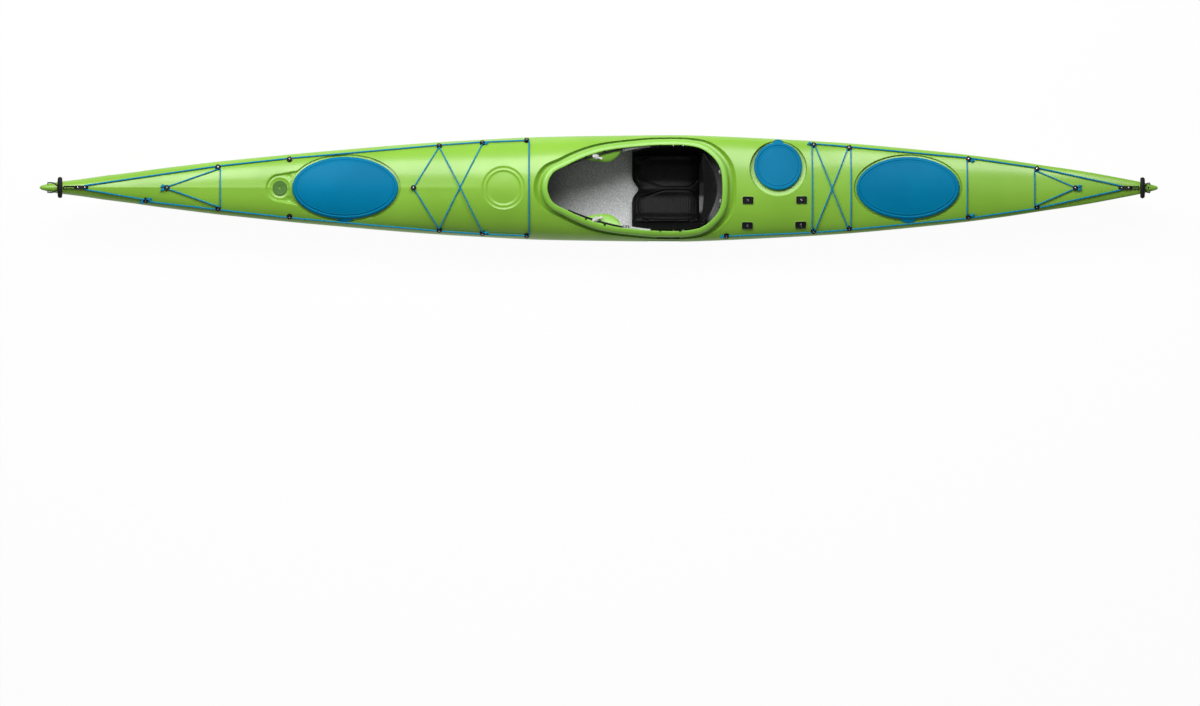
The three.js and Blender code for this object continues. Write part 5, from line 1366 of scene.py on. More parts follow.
def endFitting(name, node):
    # Oblong fitting with sloped ends, a rounded channel for the line and two screws
    low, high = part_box(node)
    bar = box(endBar["size"], (0, 0, 6.5 * mm))
    pickFaces(bar, facesUp)
    bpy.ops.transform.resize(value=endBar["topShare"])
    bpy.ops.mesh.inset(thickness=3 * mm, depth=0)
    bpy.ops.transform.translate(value=(0, 0, -0.9 * mm))
    objectMode()
    bevelled(bar, 1.8 * mm, 3)
    painted(smoothed(bar, 35), mouldedBlack)
    hollow = box(endBar["hollow"], (0, 0, endBar["size"][2]))
    bevelled(hollow, 1.2 * mm)
    cutBy(bar, hollow)
    screws = []
    for side in (-1, 1):
        screw = screwHead(endBar["screw"], endBar["size"][2])
        screw.data.transform(Matrix.Translation((side * endBar["screwAway"], 0, 0.2 * mm)))
        screws.append(screw)
    piece = joined(name, [bar, *screws])
    piece.data.transform(deckSeat(stationX(endBar["bow" if low.x < 0 else "stern"]), 0, fitting["gap"]))
    return piece


def retainingLoop(name, x, fittingX):
    # A short cord loop from the end fitting to just behind the toggle
    towards = math.copysign(1, x - fittingX)
    root, tip = fittingX + towards * 20 * mm, x - towards * (toggle["width"] / 2 + toggle["cord"])
    places = [{"x": px, "y": py, "turn": 4.5 * mm, "knot": False, "over": 0.0}
              for px, py in ((root, 5 * mm), (tip, 5 * mm), (tip, -5 * mm), (root, -5 * mm))]
    return tubePiece(name, followDeck(places, toggle["cord"]), toggle["cord"], cordBlack, 10)


for end in ("bow", "stern"):
    x = stationX(toggle[end])
    bar = toggleBar(end + "_toggle_bar", x)
    dressed(bar, end + "_toggle", "toggle", end + "_toggle")
    dressed(toggleCord(end + "_toggle_line", toggle[end + "Hole"], x), end + "_toggle", "toggle_cord",
            end + "_toggle_cord")
    holder = endFitting(end + "_end_bar", end + "_end_fitting")
    loop = retainingLoop(end + "_end_loop", x, stationX(endBar[end]))
    dressed(joined(end + "_end_bar", [holder, loop]), "boat", "deck_fitting", end + "_end_fitting")
print("toggles and end fittings made")


# Small pads aft of the cockpit, each on a pale gasket, with a metal ring and a stud

plate = {"length": 51 * mm, "width": 35 * mm, "thick": 5 * mm, "corner": 5 * mm, "bedding": 0.45 * mm,
         "gasket": 4 * mm, "ring": 4.4 * mm, "ringWire": 1 * mm, "stud": 2.4 * mm}


def torus(radius, wire, z=0.0, sides=36):
    bpy.ops.object.select_all(action="DESELECT")
    bpy.ops.mesh.primitive_torus_add(major_radius=radius, minor_radius=wire, major_segments=sides,
                                     minor_segments=10, location=(0, 0, z))
    return smoothed(settled(bpy.context.active_object), 60)


def roundCorners(piece, radius, axis=2, segments=6):
    # Rounds the four edges of a block that run along one axis
    makeActive(piece)
    editMode()
    bpy.ops.mesh.select_mode(type="EDGE")
    bpy.ops.mesh.select_all(action="DESELECT")
    objectMode()
    for edge in piece.data.edges:
        a, b = [piece.data.vertices[i].co for i in edge.vertices]
        edge.select = abs(a[axis] - b[axis]) > 0.9 * (a - b).length
    editMode()
    bpy.ops.mesh.bevel(offset=radius, segments=segments, affect="EDGES")
    objectMode()
    return piece


def deckPlate():
    pad = box((plate["length"], plate["width"], plate["thick"]), (0, 0, plate["thick"] / 2))
    roundCorners(pad, plate["corner"])
    bevelled(pad, 1 * mm, 3, angle_limit=0.9)
    shaped(pad, lambda face: face.normal.z > 0.95 and face.area > 4e-4, (2.4 * mm, 0), (0.6 * mm, -0.8 * mm))
    painted(smoothed(pad, 40), mouldedBlack)
    gasket = box((plate["length"] + plate["gasket"], plate["width"] + plate["gasket"], 1.2 * mm),
                 (0, 0, 0.2 * mm))
    painted(roundCorners(gasket, plate["corner"] + 2 * mm), paleGreen)
    ring = painted(torus(plate["ring"], plate["ringWire"], plate["thick"] - 0.5 * mm, 32), screwSteel)
    stud = cylinder(plate["stud"], 1.4 * mm, plate["thick"] - 1 * mm, 24)
    painted(bevelled(stud, 0.5 * mm), mouldedBlack)
    return joined("deck_plate", [pad, gasket, ring, stud])


pattern = deckPlate()
for name in sorted(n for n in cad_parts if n.startswith("deck_plate")):
    middle = boxMiddle(name)
    seat = deckSeat(middle.x, middle.y, plate["bedding"])
    dressed(copied(pattern, name + "_body", seat), "boat", "deck_plate", name)
removed(pattern)
print("deck plates placed")


# Holes through the skins, and what stands in them

def facing(place, direction):
    return Matrix.Translation(place) @ direction.to_track_quat("Z", "Y").to_matrix().to_4x4()


def besideHull(x, z, hand):
    # A place on the hull's side at a height, and the way that it faces
    def breadth(x, z):
        half, keel, seam, crown, power = linesAt(x)
        down = min(max((seam - z) / (seam - keel), 0), 1)
        flat = boat["keelFlat"] * half
        return flat + (half - flat) * max(1 - down ** power, 0) ** (1 / power)

    probe = 2 * mm
    slopeX = (breadth(x + probe, z) - breadth(x - probe, z)) / (2 * probe)
    slopeZ = (breadth(x, z + probe) - breadth(x, z - probe)) / (2 * probe)
    return Vector((x, hand * breadth(x, z), z)), Vector((-slopeX, hand, -slopeZ)).normalized()


def bevelledCopy(node, name, width, material):
    # The frame's own solid with its sharp edges rounded
    piece = bpy.data.objects.new(name, bpy.data.objects[node].data.copy())
    bpy.context.collection.objects.link(piece)
    named(piece, name)
    makeActive(piece)
    editMode()
    bpy.ops.mesh.select_all(action="SELECT")
    bpy.ops.mesh.remove_doubles(threshold=1e-5)
    bpy.ops.mesh.dissolve_limited(angle_limit=math.radians(1))
    objectMode()
    bevelled(piece, width, 3, angle_limit=math.radians(35))
    return smoothed(painted(piece, material), 35)


slider = {"slot": (92 * mm, 20 * mm), "slotDepth": 14 * mm, "corner": 6 * mm, "gap": 0.5 * mm,
          "frame": 3.5 * mm, "sink": 1.6 * mm, "screw": 3.6 * mm, "screwInset": (9 * mm, 8 * mm), "ribs": 5}
footBolt = {"places": (-833 * mm, -446 * mm), "height": 77 * mm, "washer": 8.5 * mm, "head": 5.4 * mm}
sliderLow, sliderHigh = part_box("skeg_slider_housing")
sliderSize = sliderHigh - sliderLow
sliderMiddle = (sliderLow + sliderHigh) / 2


def sliderHousing():
    # A framed block with a slot, let into the port side across the seam
    body = box(sliderSize, sliderMiddle)
    roundCorners(body, slider["corner"], axis=1)
    pickFaces(body, lambda face: face.normal.y < -0.95)
    bpy.ops.mesh.inset(thickness=slider["frame"], depth=0)
    bpy.ops.transform.translate(value=(0, slider["sink"], 0))
    objectMode()
    length, height = slider["slot"]
    slot = box((length, 2 * slider["slotDepth"], height),
               (sliderMiddle.x, sliderLow.y, sliderMiddle.z))
    cutBy(body, roundCorners(slot, height * 0.3, axis=1))
    bevelled(body, 0.7 * mm, angle_limit=0.7)
    parts = [painted(smoothed(body, 40), mouldedBlack)]
    insetX, insetZ = slider["screwInset"]
    for x, z in ((sliderLow.x + insetX, sliderLow.z + insetZ),
                 (sliderHigh.x - insetX, sliderHigh.z - insetZ)):
        screw = screwHead(slider["screw"], slider["sink"])
        screw.data.transform(facing(Vector((x, sliderLow.y + 1.4 * mm, z)), Vector((0, -1, 0))))
        parts.append(screw)
    return joined("slider_housing", parts)


def sliderKnob():
    # Block with gripping ribs that stands in the slot
    low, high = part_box("skeg_slider_knob")
    size = high - low
    knob = box(size, (low + high) / 2)
    bevelled(knob, 2 * mm, 3)
    ribs = [knob]
    for k in range(slider["ribs"]):
        x = low.x + size.x * (k + 1) / (slider["ribs"] + 1)
        rib = box((1.6 * mm, 2 * mm, size.z * 0.8), (x, low.y, (low.z + high.z) / 2))
        ribs.append(bevelled(rib, 0.6 * mm))
    return painted(smoothed(joined("slider_knob", ribs), 40), rubberBlack)


def cutSkins():
    hole = sliderSize + Vector((1, 1, 1)) * 2 * slider["gap"]
    for skin in (hullSkin, deckSkin):
        way = box((hole.x, hole.y + 20 * mm, hole.z), sliderMiddle - Vector((0, 10 * mm, 0)))
        cutBy(skin, painted(roundCorners(way, slider["corner"], axis=1), gelGreen, speckledLiner))
    low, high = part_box("skeg_blade")
    slot = box((high.x - low.x + 14 * mm, 12 * mm, 160 * mm), ((low.x + high.x) / 2, 0, 0))
    cutBy(hullSkin, painted(roundCorners(slot, 5 * mm), gelGreen, speckledLiner))
    for hole in (toggle["bowHole"], toggle["sternHole"]):
        half, keel, seam, crown, power = linesAt(stationX(hole))
        place = Vector((stationX(hole), 0, seam + (crown - seam) * toggle["holeHeight"]))
        way = cylinder(toggle["holeRadius"], 120 * mm, -60 * mm, 24)
        way.data.transform(Matrix.Translation(place) @ Matrix.Rotation(math.pi / 2, 4, "X"))
        cutBy(deckSkin, painted(way, gelGreen, speckledLiner))


rudderHole = {"x": 2603 * mm, "radius": 5.5 * mm, "depth": 26 * mm}


def rudderRing():
    # A plain ring round the blind hole near the stern
    place = deckSeat(rudderHole["x"], 0.0)
    way = cylinder(rudderHole["radius"], rudderHole["depth"] * 2, -rudderHole["depth"], 32)
    way.data.transform(place)
    cutBy(deckSkin, painted(way, mouldedBlack, mouldedBlack))
    ring = named(torus(rudderHole["radius"] + 1.2 * mm, 1.3 * mm), "rudder_ring")
    ring.data.transform(place)
    return painted(ring, paleGreen)


def footrestBolts():
    # Bright domed bolts in dark washers, two on each side of the hull
    bolts = []
    for x in footBolt["places"]:
        for hand in (1, -1):
            place, outward = besideHull(x, footBolt["height"], hand)
            washer = cylinder(footBolt["washer"], 2 * mm, -0.8 * mm, 32)
            bevelled(washer, 0.6 * mm)
            washer = painted(smoothed(washer, 40), mouldedBlack)
            for piece in (washer, screwHead(footBolt["head"], 2.6 * mm, 24)):
                piece.data.transform(facing(place, outward))
                bolts.append(piece)
    return joined("footrest_bolts", bolts)


cutSkins()
moulded(rudderRing())
moulded(smoothed(hullSkin, 40), "hull_shell")
moulded(smoothed(deckSkin, 40), "deck_shell")
dressed(sliderHousing(), "boat", "skeg_slider", "skeg_slider_housing")
dressed(sliderKnob(), "skeg_knob", "skeg_slider", "skeg_slider_knob")
dressed(bevelledCopy("skeg_blade", "skeg_fin", 1 * mm, skegGrey), "skeg_blade", "skeg", "skeg_blade")
dressed(bevelledCopy("skeg_box", "skeg_case", 1.5 * mm, skegGrey), "boat", "skeg", "skeg_box")
dressed(footrestBolts(), "boat", "footrest")
for side, hand in (("starboard", 1), ("port", -1)):
    rail = bevelledCopy("footrest_rail_" + side, "footrest_bar_" + side, 2 * mm, mouldedBlack)
    dressed(rail, "boat", "footrest", "footrest_rail_" + side)
    pedal = bevelledCopy("foot_pedal_" + side, "foot_plate_" + side, 2.5 * mm, mouldedBlack)
    dressed(pedal, "pedal_" + side, "footrest", "foot_pedal_" + side)
for name in ("bow", "cockpit", "stern"):
    wall = bevelledCopy(name + "_bulkhead", name + "_foam_wall", 1.5 * mm, bulkheadGrey)
    dressed(wall, "boat", "bulkhead", name + "_bulkhead")
print("skins pierced; skeg, slider, footrests and bulkheads placed")


# Seat: a moulded tray with wings up to the rim, a two-lobed cushion and a padded band for the back

tray = {"rear": cockpitX(0.885), "length": 332 * mm, "wall": 5 * mm, "foot": 4.6 * mm, "wing": 189 * mm,
        "wingTop": 181 * mm, "lip": 14 * mm, "apron": 26 * mm, "ear": 168 * mm, "pivotX": cockpitX(0.9),
        "pivotZ": 112 * mm, "steps": 40}
# half breadth and height of the tray's bends
trayCorners = [(36 * mm, 10.3 * mm), (118 * mm, 40 * mm), (165 * mm, 96 * mm), (187 * mm, 182 * mm)]
tray["front"] = tray["rear"] - tray["length"]


def trayHeight(y):
    reach = abs(y)
    if reach <= trayCorners[0][0]:
        return trayCorners[0][1]
    i = 1 if reach <= trayCorners[1][0] else (2 if reach <= trayCorners[2][0] else 3)
    start, end = trayCorners[i - 1], trayCorners[i]
    return start[1] + (end[1] - start[1]) * (reach - start[0]) / (end[0] - start[0])


def softTray(y):
    # The tray's height with its bends rounded
    return (trayHeight(abs(y) - 6 * mm) + 2 * trayHeight(y) + trayHeight(abs(y) + 6 * mm)) / 4


def pommel(x, y):
    # The tray's front rim is drawn back in the middle, between the legs
    return math.exp(-(y / (30 * mm)) ** 2) * math.exp(-max(x - tray["front"], 0) / (70 * mm))


def trayRow(x, hand):
    # Points from the middle of the tray out to one wing's upper edge
    lip = tray["lip"] * math.exp(-((x - tray["front"]) / (15 * mm)) ** 2)
    ends = [(0.0, trayCorners[0][1]), *trayCorners[:3],
            (tray["wing"] - 6 * mm, tray["wingTop"] - 8 * mm), (tray["wing"], tray["wingTop"])]
    side, rim = trayCorners[2]
    rear = fadeBetween(x, tray["rear"] - 70 * mm, tray["rear"])
    front = 1 - fadeBetween(x, tray["front"], tray["front"] + 60 * mm)
    low = 1 - 0.3 * rear ** 2 - 0.5 * front ** 2
    points = []
    for i, (a, b) in enumerate(zip(ends, ends[1:])):
        for k in range(8 if i < 4 else 3):
            t = k / (8 if i < 4 else 3)
            points.append([a[0] + (b[0] - a[0]) * t, a[1] + (b[1] - a[1]) * t])
    points.append(list(ends[-1]))
    for _ in range(3):
        points = [points[0]] + [[(p[0] + 2 * q[0] + r[0]) / 4, (p[1] + 2 * q[1] + r[1]) / 4]
                                for p, q, r in zip(points, points[1:], points[2:])] + [points[-1]]
    row = []
    for y, z in points:
        if z > rim:
            part = (z - rim) * low
            y, z = side + (y - side) * part / (z - rim), rim + part
        row.append(Vector((x + 30 * mm * pommel(x, y), hand * y, z + lip)))
    return row


def seatTray():
    rows = []
    for i in range(tray["steps"] + 1):
        x = tray["front"] + (tray["length"] + tray["apron"]) * i / tray["steps"]
        top = trayRow(x, 1)[::-1] + trayRow(x, -1)[1:]
        low = []
        for k, point in enumerate(top):
            along = (top[min(k + 1, len(top) - 1)] - top[max(k - 1, 0)]).normalized()
            under = Vector((0, along.z, -along.y))
            place = point + under * tray["wall"] * (1 if under.z < 0 else -1)
            low.append(Vector((place.x, place.y, max(place.z, tray["foot"]))))
        rows.append(top + low[::-1])
    parts = [bevelled(gridPiece("seat_tray", folded(rows)), 1 * mm, angle_limit=0.9)]
    for hand in (1, -1):
        ear = box((60 * mm, 5.4 * mm, 44 * mm), (tray["pivotX"] - 16 * mm, hand * tray["ear"], 104 * mm))
        pickFaces(ear, facesUp)
        bpy.ops.transform.resize(value=(0.45, 1, 1))
        bpy.ops.transform.translate(value=(14 * mm, 0, 0))
        objectMode()
        parts.append(bevelled(ear, 2 * mm, 3))
        pin = cylinder(6 * mm, 9 * mm, 0, 24)
        pin.data.transform(Matrix.Translation((tray["pivotX"], hand * tray["ear"], tray["pivotZ"]))
                           @ Matrix.Rotation(hand * math.pi / 2, 4, "X"))
        parts.append(bevelled(pin, 1 * mm))
    return painted(smoothed(joined("seat_tray", parts), 40), seatShell)


cushion = {
    "front": tray["front"] + 8 * mm, "rear": tray["rear"] - 8 * mm, "half": 162 * mm, "thick": 44 * mm,
    "edge": 0.3, "ridge": 16 * mm, "lobeFront": tray["front"] + 24 * mm, "lobeRear": tray["rear"] - 10 * mm,
    "lobeIn": 6 * mm, "lobeOut": 159 * mm, "corner": 73 * mm, "pommel": 34 * mm, "pommelEnd": 150 * mm,
    "crown": 5 * mm, "seam": 3.6 * mm, "seamWidth": 3.4 * mm, "bead": 2 * mm, "rib": 1.3 * mm,
    "ribPitch": 13 * mm, "ribWidth": 2.6 * mm, "voxel": 6 * mm, "puff": 5 * mm,
}


def lobeInside(x, y):
    # Distance in from the sewn edge of one half of the cushion; the pommel stands between their fronts
    c = cushion
    halfX, halfY = (c["lobeRear"] - c["lobeFront"]) / 2, (c["lobeOut"] - c["lobeIn"]) / 2
    ex = abs(x - (c["lobeFront"] + c["lobeRear"]) / 2) - (halfX - c["corner"])
    ey = abs(abs(y) - (c["lobeIn"] + c["lobeOut"]) / 2) - (halfY - c["corner"])
    inside = c["corner"] - math.hypot(max(ex, 0), max(ey, 0)) - min(max(ex, ey), 0)
    spread = c["pommel"] * (1 - fadeBetween(x, c["lobeFront"] + 10 * mm, c["lobeFront"] + c["pommelEnd"]))
    gap = (abs(y) - c["lobeIn"] - spread) * 0.9
    blend = fadeBetween(inside - gap, -8 * mm, 8 * mm)
    return inside * (1 - blend) + gap * blend - 4 * mm * blend * (1 - blend)


def padForm():
    c = cushion
    rows = []
    columns, count = 72, 60
    for j in range(columns + 1):
        across = 2 * j / columns - 1
        side = math.sqrt(max(1 - across ** 6, 0))
        top, low = [], []
        for i in range(count + 1):
            along = i / count
            y = across * c["half"] * (0.92 + 0.08 * math.sin(math.pi * (0.08 + 0.84 * along)) ** 0.4)
            x = c["front"] + along * (c["rear"] - c["front"])
            x += 26 * mm * pommel(x, y) * (1 - along)
            end = math.sin(math.pi * (0.05 + 0.87 * along)) ** 0.45
            ridge = math.exp(-((across / 0.16) ** 2)) * (1.05 - along)
            thick = c["thick"] * (c["edge"] + (1 - c["edge"]) * side * end) + c["ridge"] * (
                ridge - math.sin(math.pi * abs(across)) * 0.5) * side
            base = softTray(y) + 0.8 * mm
            top.append(Vector((x, y, base + thick)))
            low.append(Vector((x, y, base)))
        rows.append(top + low[::-1])
    return gridPiece("seat_cushion", folded(rows))


def puffed(piece, voxel, cap, keepBack):
    # Inflates a closed cushion as its filling does, and holds the side that it rests on
    modified(piece, "REMESH", mode="VOXEL", voxel_size=voxel)
    before = [vertex.co.copy() for vertex in piece.data.vertices]
    normals = [vertex.normal.copy() for vertex in piece.data.vertices]
    makeActive(piece)
    cloth = piece.modifiers.new("puff", "CLOTH")
    cloth.settings.quality = 4
    cloth.settings.mass = 0.3
    cloth.settings.use_pressure = True
    cloth.settings.uniform_pressure_force = 4
    cloth.settings.effector_weights.gravity = 0
    for frameNumber in range(1, 21):
        bpy.context.scene.frame_set(frameNumber)
    bpy.ops.object.modifier_apply(modifier=cloth.name)
    bpy.context.scene.frame_set(1)
    for vertex, start, normal in zip(piece.data.vertices, before, normals):
        move = vertex.co - start
        if move.length > cap:
            move *= cap / move.length
        vertex.co = start + move * (1 - fadeBetween(normal.dot(keepBack), 0.0, 0.5))
    modified(piece, "SUBSURF", levels=1, render_levels=1)
    return modified(piece, "SMOOTH", factor=0.5, iterations=3)


def seatCushion():
    c = cushion
    pad = puffed(padForm(), c["voxel"], c["puff"], Vector((0, 0, -1)))
    for vertex in pad.data.vertices:
        if vertex.normal.z < 0.1:
            continue
        x, y = vertex.co.x, vertex.co.y
        inside = lobeInside(x, y)
        swell = c["crown"] * (1 - math.exp(-max(inside, 0) / (14 * mm)))
        drop = c["seam"] * math.exp(-(inside / c["seamWidth"]) ** 2)
        bead = c["bead"] * math.exp(-((inside + 6.5 * mm) / (3.4 * mm)) ** 2)
        step = (x / c["ribPitch"] + 0.5) % 1 - 0.5
        rib = c["rib"] * math.exp(-(step * c["ribPitch"] / c["ribWidth"]) ** 2) * fadeBetween(
            inside, 6 * mm, 16 * mm)
        vertex.co.z += (swell - 2 * mm - drop + bead - rib) * fadeBetween(vertex.normal.z, 0.1, 0.5)
    return painted(smoothed(pad, 70), seatCloth)


band = {"rear": cockpitX(0.983), "curve": 62 * mm, "half": 165 * mm, "low": 123 * mm, "top": 261 * mm,
        "thick": 20 * mm, "lean": 60 * mm, "endLean": 6 * mm, "endDrop": 0.22, "voxel": 6 * mm,
        "puff": 3 * mm, "piping": 3.2 * mm, "steps": 72, "sides": 44, "seams": (0.16, 0.55, 0.72, 0.88),
        "seamWide": 2.6 * mm, "seamDeep": 2.6 * mm}


def bandPlace(across, height, fore):
    # A place in the band: across it, up it and out of its front face, each as a share of its size
    top = band["top"] - (band["top"] - band["low"]) * band["endDrop"] * across ** 2
    z = band["low"] + (top - band["low"]) * height
    lean = band["lean"] + (band["endLean"] - band["lean"]) * across ** 2
    x = (band["rear"] - 1 * mm - band["curve"] * across ** 2 - fore * band["thick"]
         + lean * (z - band["top"]) / (band["top"] - band["low"]))
    return Vector((x, across * (band["half"] - 1 * mm), z))


def backBand():
    # The band leans rearwards and is thickest in the middle of its height, with sewn lines along it
    rows = []
    for i in range(band["steps"] + 1):
        across = 2 * i / band["steps"] - 1
        side = (1 - abs(across) ** 12) ** 0.5
        ring = []
        for k in range(band["sides"]):
            turn = 2 * math.pi * k / band["sides"]
            up = signedPower(math.sin(turn), 0.6)
            fore = signedPower(math.cos(turn), 0.7) * side
            ring.append(bandPlace(across, 0.5 + 0.485 * up * (0.75 + 0.25 * side), 0.5 + 0.48 * fore))
        rows.append(ring)
    pad = puffed(gridPiece("backrest_band", drawnTogether(rows)), band["voxel"], band["puff"],
                 Vector((0.9, 0, -0.4)))
    for vertex in pad.data.vertices:
        if vertex.normal.x > 0.2:
            continue
        across = vertex.co.y / band["half"]
        height = (vertex.co.z - band["low"]) / (bandPlace(across, 1, 0).z - band["low"])
        seams = [(height - place) * 140 * mm for place in band["seams"]]
        groove = sum(math.exp(-(seam / band["seamWide"]) ** 2) for seam in seams)
        vertex.co -= vertex.normal * (band["seamDeep"] * groove * (1 - across ** 8)) * fadeBetween(
            -vertex.normal.x, -0.2, 0.2)
    edge = [bandPlace(k / 20 - 1, 0.985, 0.5) for k in range(41)]
    parts = [painted(smoothed(pad, 70), backCloth),
             tubePiece("band_piping", edge, band["piping"], rubberBlack, 10)]
    return joined("backrest_band", parts)


def backArm(hand):
    # A flat arm from the pivot up to the band's end
    y = hand * 161.8 * mm
    tip = bandPlace(1, 0.55, 0.5)
    tip.y = y
    root = Vector((tray["pivotX"], y, tray["pivotZ"]))
    arm = box(((tip - root).length + 16 * mm, 4 * mm, 18 * mm), (0, 0, 0))
    bevelled(arm, 1.6 * mm, 3)
    lean = math.atan2(tip.z - root.z, tip.x - root.x)
    arm.data.transform(Matrix.Translation((tip + root) / 2) @ Matrix.Rotation(-lean, 4, "Y"))
    boss = cylinder(12 * mm, 4.4 * mm, -2.2 * mm, 32)
    bevelled(boss, 1 * mm)
    across = Matrix.Translation(root) @ Matrix.Rotation(math.pi / 2, 4, "X")
    boss.data.transform(across)
    pin = cylinder(6.4 * mm, 8 * mm, -4 * mm, 24)
    pin.data.transform(across)
    made = cutBy(joined("backrest_arm", [arm, boss]), pin)
    return painted(smoothed(made, 40), seatShell)


dressed(seatTray(), "boat", "seat_pan", "seat_pan")
dressed(seatCushion(), "boat", "seat_pad", "seat_pad")
dressed(backBand(), "backrest", "backrest", "backrest")
dressed(joined("backrest_arms", [backArm(1), backArm(-1)]), "backrest", "backrest")
print("seat and backrest made")


# Cockpit hardware: rim bolts, webbing and buckles, cord clips

hardware = {"bolt": 5.4 * mm, "boltDrop": 3 * mm, "screw": 3.2 * mm, "screwDrop": 6 * mm,
            "strapThick": 1.6 * mm, "strapSides": 16, "sideStart": -148 * mm, "sideLength": 268 * mm,
            "sideWide": 9 * mm, "sideDrop": 12 * mm, "paleStart": 138 * mm,
            "paleLength": 112 * mm, "paleWide": 8 * mm, "backWide": 16 * mm, "clip": -14 * mm}
buckleForm = {"size": (30 * mm, 22 * mm, 4 * mm), "slot": (6 * mm, 15 * mm, 8 * mm), "slotAway": 7 * mm,
              "tooth": (1.2 * mm, 16 * mm, 1.6 * mm), "toothStep": 2 * mm}
clipForm = {"size": (26 * mm, 11 * mm, 7 * mm), "hook": 10 * mm, "cord": 3.4 * mm, "turnStep": 5 * mm,
            "turnHalf": 8 * mm, "turnRise": 6 * mm, "lean": -0.35, "scale": 1.35}
boltPlaces = [(-0.0603, 1), (0.0308, 1), (0.2847, 1), (0.3772, 1), (-0.0603, -1), (0.0308, -1),
              (0.2837, -1), (0.3772, -1)]


def mouthPoint(x, hand, inset=0.0, drop=0.0):
    # A place on the rim's inner wall at one side, with the direction that leads into the cockpit
    side = [(p, o) for p, o in mouth if p.y * hand > 0 and abs(o.x) < 0.97]
    point, outward = min(side, key=lambda pair: abs(pair[0].x - x))
    near = point - outward * inset
    z = deckHeight(point.x, point.y) + cockpit["rise"] - drop
    return Vector((near.x, near.y, z)), Vector((-outward.x, -outward.y, 0))


def nearestMouth(x, y):
    return min(mouth, key=lambda pair: (pair[0] - Vector((x, y))).length)


def boltPattern(material, size):
    bolt = cylinder(size, 5 * mm, 0, 24)
    shaped(bolt, facesUp, (size * 0.25, 0.8 * mm), (size * 0.35, 0.2 * mm))
    bevelled(bolt, 0.4 * mm)
    return painted(smoothed(bolt, 40), material)


bolts = []
pattern = boltPattern(mouldedBlack, hardware["bolt"])
for x, hand in boltPlaces:
    place, inward = mouthPoint(x, hand, -2.5 * mm, hardware["boltDrop"])
    bolts.append(copied(pattern, "rim_bolt", facing(place, inward)))
for y in (102 * mm, -100 * mm):
    place = Vector((cockpitX(0.995), y, deckHeight(cockpitX(1), y) + cockpit["rise"] - 4 * mm))
    near = nearestMouth(place.x, y)
    place.x, place.y = near[0].x, near[0].y
    bolts.append(copied(pattern, "rim_bolt", facing(place, Vector((-near[1].x, -near[1].y, 0)))))
removed(pattern)
pattern = boltPattern(screwSteel, hardware["screw"])
for x, hand in ((0.349, 1), (0.401, 1), (0.349, -1), (0.396, -1)):
    place, inward = mouthPoint(x, hand, drop=hardware["screwDrop"])
    bolts.append(copied(pattern, "rim_screw", facing(place, inward)))
removed(pattern)
dressed(joined("rim_bolts", bolts), "boat", "deck_fitting")


def webbing(name, points, material, wide, flat=Vector((0, 0, 1))):
    # Flat webbing along a route; flat gives the way that its face looks
    rows = []
    thick, sides = hardware["strapThick"], hardware["strapSides"]
    last = len(points) - 1
    for i, point in enumerate(points):
        ahead = (points[min(i + 1, last)] - points[max(i - 1, 0)]).normalized()
        face = (flat - ahead * flat.dot(ahead)).normalized()
        side = ahead.cross(face)
        ring = []
        for k in range(sides):
            turn = 2 * math.pi * k / sides
            a = signedPower(math.cos(turn), 0.35)
            b = signedPower(math.sin(turn), 0.6)
            ring.append(point + side * a * wide / 2 + face * b * thick / 2)
        rows.append(ring)
    rows = [[points[0]] * sides, *rows, [points[-1]] * sides]
    return painted(smoothed(gridPiece(name, rows), 50), material)


def buckle(name, place, heading):
    # Ladder buckle: a frame with two slots and ribbed sides
    frameBody = box(buckleForm["size"], (0, 0, 0))
    for side in (-1, 1):
        cutBy(frameBody, box(buckleForm["slot"], (side * buckleForm["slotAway"], 0, 0)))
    bevelled(frameBody, 0.9 * mm)
    teeth = [box(buckleForm["tooth"], (k * buckleForm["toothStep"], 0, 2.2 * mm)) for k in (-1, 0, 1)]
    made = joined(name, [frameBody, *teeth])
    along = heading.normalized()
    across = Vector((0, 0, 1)).cross(along).normalized()
    made.data.transform(standing(place, along, across, along.cross(across)))
    return painted(smoothed(made, 35), buckleGrey)


def cordClip(name, place, hand):
    # A pale clip body with a hook, and the pulled-tight turns of a white cord round it
    form = clipForm
    body = box(form["size"], (0, 0, 0))
    pickFaces(body, lambda face: face.normal.x > 0.9)
    bpy.ops.transform.resize(value=(1, 0.55, 0.8))
    bpy.ops.mesh.extrude_region_move(TRANSFORM_OT_translate={"value": (form["hook"], 0, 0)})
    bpy.ops.transform.resize(value=(1, 1.7, 1))
    objectMode()
    bevelled(body, 1.8 * mm, 3)
    painted(smoothed(body, 40), palePlastic)
    turns = []
    for k in range(3):
        loop = [Vector((-6 * mm + form["turnStep"] * k + 1 * mm * math.sin(t),
                        form["turnHalf"] * math.cos(t), form["turnRise"] * math.sin(t)))
                for t in [2 * math.pi * n / 20 for n in range(21)]]
        turns.append(tubePiece(name + "_turn", loop, form["cord"], cordWhite, 8))
    ends = [Vector((-12 * mm - 7 * mm * t, 5 * mm * math.sin(2.4 * t) * hand, 2 * mm - 3 * mm * t * t))
            for t in [n / 8 for n in range(17)]]
    turns.append(tubePiece(name + "_end", ends, form["cord"], cordWhite, 8))
    made = joined(name, [body, *turns])
    made.data.transform(Matrix.Translation(place) @ Matrix.Rotation(hand * form["lean"], 4, "Z")
                        @ Matrix.Scale(form["scale"], 4))
    return made


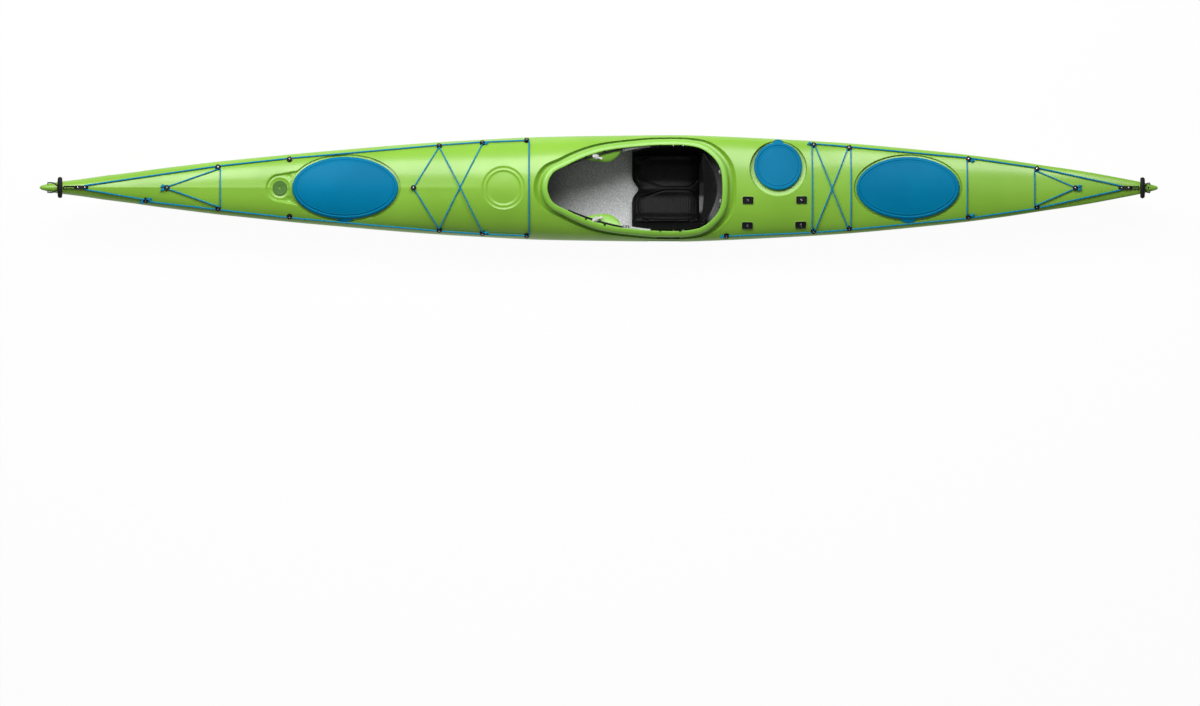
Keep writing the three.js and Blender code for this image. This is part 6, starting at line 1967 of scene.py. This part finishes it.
for side, hand in (("starboard", 1), ("port", -1)):
    edge = []
    for k in range(24):
        x = hardware["sideStart"] + hardware["sideLength"] * k / 23
        place, inward = mouthPoint(x, hand, inset=2.5 * mm, drop=hardware["sideDrop"])
        edge.append(place + inward * 7 * mm * math.sin(math.pi * k / 23))
    strap = webbing("side_strap_" + side, edge, strapBlack, hardware["sideWide"])
    tail = [mouthPoint(hardware["paleStart"] + hardware["paleLength"] * k / 7, hand,
                       inset=6 * mm - 0.5 * mm * k, drop=14 * mm + 1 * mm * k)[0] for k in range(8)]
    pale = webbing("pale_strap_" + side, smoothRoute(tail, 3), strapPale, hardware["paleWide"])
    held = buckle("buckle_" + side, edge[-1] + Vector((8 * mm, 0, 1 * mm)), edge[-1] - edge[-4])
    clipAt, inward = mouthPoint(hardware["clip"], hand, inset=16 * mm, drop=10 * mm)
    clip = cordClip("cord_clip_" + side, clipAt, hand)
    dressed(joined("side_strap_" + side, [strap, pale, held, clip]), "boat", "deck_fitting")
ends = []
for y in (72 * mm, -62 * mm):
    near = nearestMouth(cockpitX(1), y)
    place = Vector((near[0].x, near[0].y, deckHeight(near[0].x, y) + 2 * mm))
    inward = Vector((-near[1].x, -near[1].y, 0))
    route = [place + inward * (5 + 0.6 * k) * mm + Vector((0, 0, 10 * mm - 5 * mm * k)) for k in range(9)]
    ends.append(webbing("back_strap", route, strapPale, hardware["backWide"], inward))
dressed(joined("back_straps", ends), "boat", "deck_fitting")
print("cockpit hardware made")


# Studio

studio = {"cameraX": 0.003, "cameraY": -0.783, "frameWidth": 5.736, "lens": 200, "sensor": 36}
bpy.ops.object.camera_add(location=(
    studio["cameraX"], studio["cameraY"], studio["frameWidth"] * studio["lens"] / studio["sensor"]))
camera = bpy.context.active_object
camera.data.lens = studio["lens"]
camera.data.sensor_width = studio["sensor"]
camera.data.clip_end = 100
bpy.context.scene.camera = camera


def softbox(name, place, aim, size, power):
    bpy.ops.object.light_add(type="AREA", location=place)
    lamp = bpy.context.active_object
    lamp.name = name
    lamp.data.shape = "RECTANGLE"
    lamp.data.size, lamp.data.size_y = size
    lamp.data.energy = power
    lamp.rotation_euler = (Vector(aim) - Vector(place)).to_track_quat("-Z", "Y").to_euler()


softbox("starboard_softbox", (-0.5, 2.9, 3.9), (0, 0, 0.2), (6.5, 2.4), 345)
softbox("overhead_softbox", (0, 0.3, 4.5), (0, 0, 0.2), (6.5, 1.5), 14)
world = bpy.data.worlds.new("studio")
world.use_nodes = True
bpy.context.scene.world = world
world.node_tree.nodes["Background"].inputs["Color"].default_value = (1, 1, 1, 1)
world.node_tree.nodes["Background"].inputs["Strength"].default_value = 0.15

bpy.ops.mesh.primitive_plane_add(size=60, location=(0, 0, -0.2 * mm))
floor = named(bpy.context.active_object, "studio_floor")
floorPaint, tree, shader = newFinish("studio floor", Roughness=0.9)
shader.inputs["Base Color"].default_value = (0.92, 0.92, 0.92, 1)
glow = addNode(tree, "ShaderNodeEmission", {"Color": (1, 1, 1, 1), "Strength": 1.0})
path = addNode(tree, "ShaderNodeLightPath")
mirrored = mathNode(tree, "MAXIMUM", path.outputs["Is Glossy Ray"], path.outputs["Is Transmission Ray"])
seen = mathNode(tree, "MAXIMUM", path.outputs["Is Camera Ray"], mirrored)
blend = addNode(tree, "ShaderNodeMixShader", {0: times(tree, seen, 0.96),
                                              1: shader.outputs[0], 2: glow.outputs[0]})
tree.links.new(blend.outputs[0], tree.nodes["Material Output"].inputs[0])
painted(floor, floorPaint)

bpy.context.scene.view_settings.view_transform = "Standard"
print("studio set")
